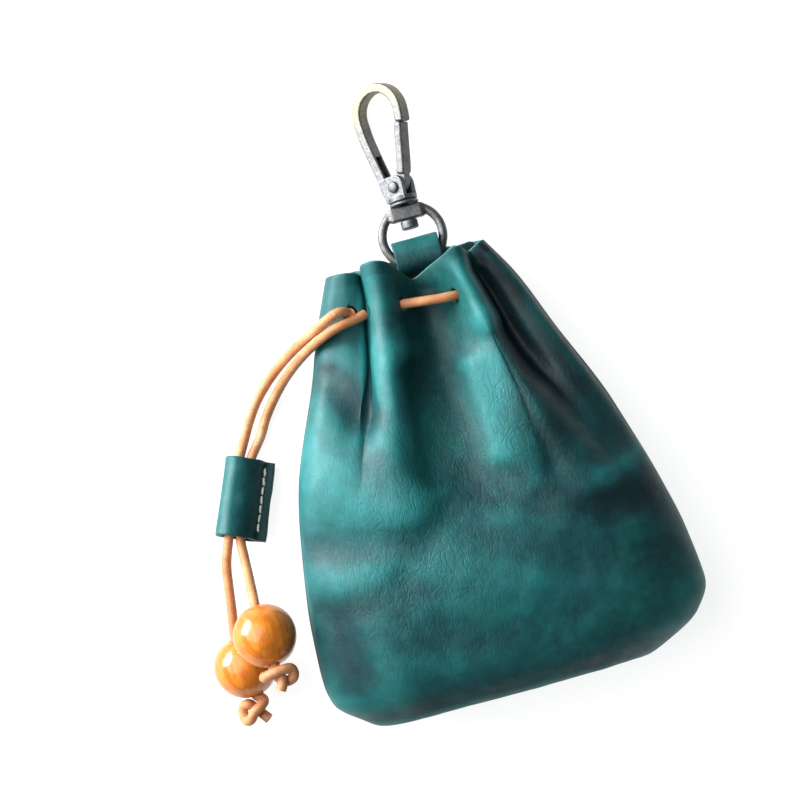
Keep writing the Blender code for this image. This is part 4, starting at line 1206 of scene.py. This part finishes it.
def knot(label, bead_centre, bead_axis):
    axis = Vector(bead_axis).normalized()
    start = Vector(bead_centre) + axis * (BEAD_FLAT - 0.5)
    line = knot_line(start, axis, KNOTS[label])
    obj = tube(f"overhand_knot_{label}", [line], KNOT_CORD, CORD, 8, 0.05, 4.0)
    return settled(obj, "cord_ends", [f"knot_{label}"])


def knot_line(start, axis, shape):
    """A route given as (right, down, up) from where the cord leaves its bead."""
    side = Vector((-axis.y, axis.x, 0.0)).normalized()
    top = side.cross(-axis)
    points = [start + side * right + axis * down + top * up for right, down, up in shape]
    return even(smooth_route([tuple(p) for p in points], 8), spacing=0.35)


# ---------------------------------------------------------------- drawstring


def drawstring():
    loop = even(smooth_route(LOOP_ROUTE, 8), spacing=0.7)
    settled(tube("threaded_cord", [loop], CORD_DIAMETER, CORD, 8, 0.02, 1.0), "bag",
            ["drawstring_loop"])
    sleeve, stitches = slider_leather(), slider_thread()
    ends = (("outer", OUTER_ROUTE, SLIDER_OUTER, OUTER_DROP, OUTER_BEAD, OUTER_BEAD_AXIS, 2.0),
            ("inner", INNER_ROUTE, SLIDER_INNER, INNER_DROP, INNER_BEAD, INNER_BEAD_AXIS, 5.0))
    for label, start, lanes, drop, centre, axis, seed in ends:
        line = even(smooth_route(end_route(start, lanes, drop, centre, axis), 8), spacing=0.7)
        obj = tube(f"cord_end_{label}", [line], CORD_DIAMETER, CORD, 8, 0.02, seed)
        settled(obj, "cord_ends", [f"drawstring_end_{label}"])
        on_it = [bead(label, centre, axis, seed), knot(label, centre, axis), sleeve, stitches]


# ---------------------------------------------------------------- threads

def hidden_threads():
    """The CAD threads inside the bag keep their shape and get the thread's material."""
    for name in ("side_seam_thread_left", "side_seam_thread_right", "base_seam_thread",
                 "tab_stitching"):
        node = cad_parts[name]
        node.data.materials.clear()
        node.data.materials.append(THREAD)


# ---------------------------------------------------------------- floor and light

def stage_and_light():
    mesh = bpy.data.meshes.new("floor")
    size = 3.0
    mesh.from_pydata([(-size, -size, 0), (size, -size, 0), (size, size, 0), (-size, size, 0)],
                     [], [(0, 1, 2, 3)])
    mesh.materials.append(floor_surface())
    floor = link(bpy.data.objects.new("floor", mesh))
    floor.location.z = -0.0004
    world = bpy.data.worlds.new("studio")
    world.use_nodes = True
    background = world.node_tree.nodes["Background"]
    background.inputs["Color"].default_value = (0.93, 0.96, 1.0, 1.0)
    background.inputs["Strength"].default_value = 0.12
    bpy.context.scene.world = world
    area_light("window", (-0.80, 0.56, 0.16), 1.25, 0.95, 46.0)
    area_light("sky", (-0.55, 0.35, 0.75), 1.5, 1.8, 30.0)
    bpy.context.scene.view_settings.view_transform = "Standard"


def area_light(name, direction, distance, size, power):
    data = bpy.data.lights.new(name, "AREA")
    data.shape, data.size, data.energy = "DISK", size, power
    obj = link(bpy.data.objects.new(name, data))
    towards = Vector(direction).normalized()
    obj.location = mm((*CAMERA_OVER, 0.0)) + towards * distance
    obj.rotation_mode = "QUATERNION"
    obj.rotation_quaternion = towards.to_track_quat("Z", "Y")


camera()
stage_and_light()
drawstring()
bag()
hanging_tab()
swivel_ring()
swivel()
hook_body()
gate()
rivet()
spring()
hidden_threads()
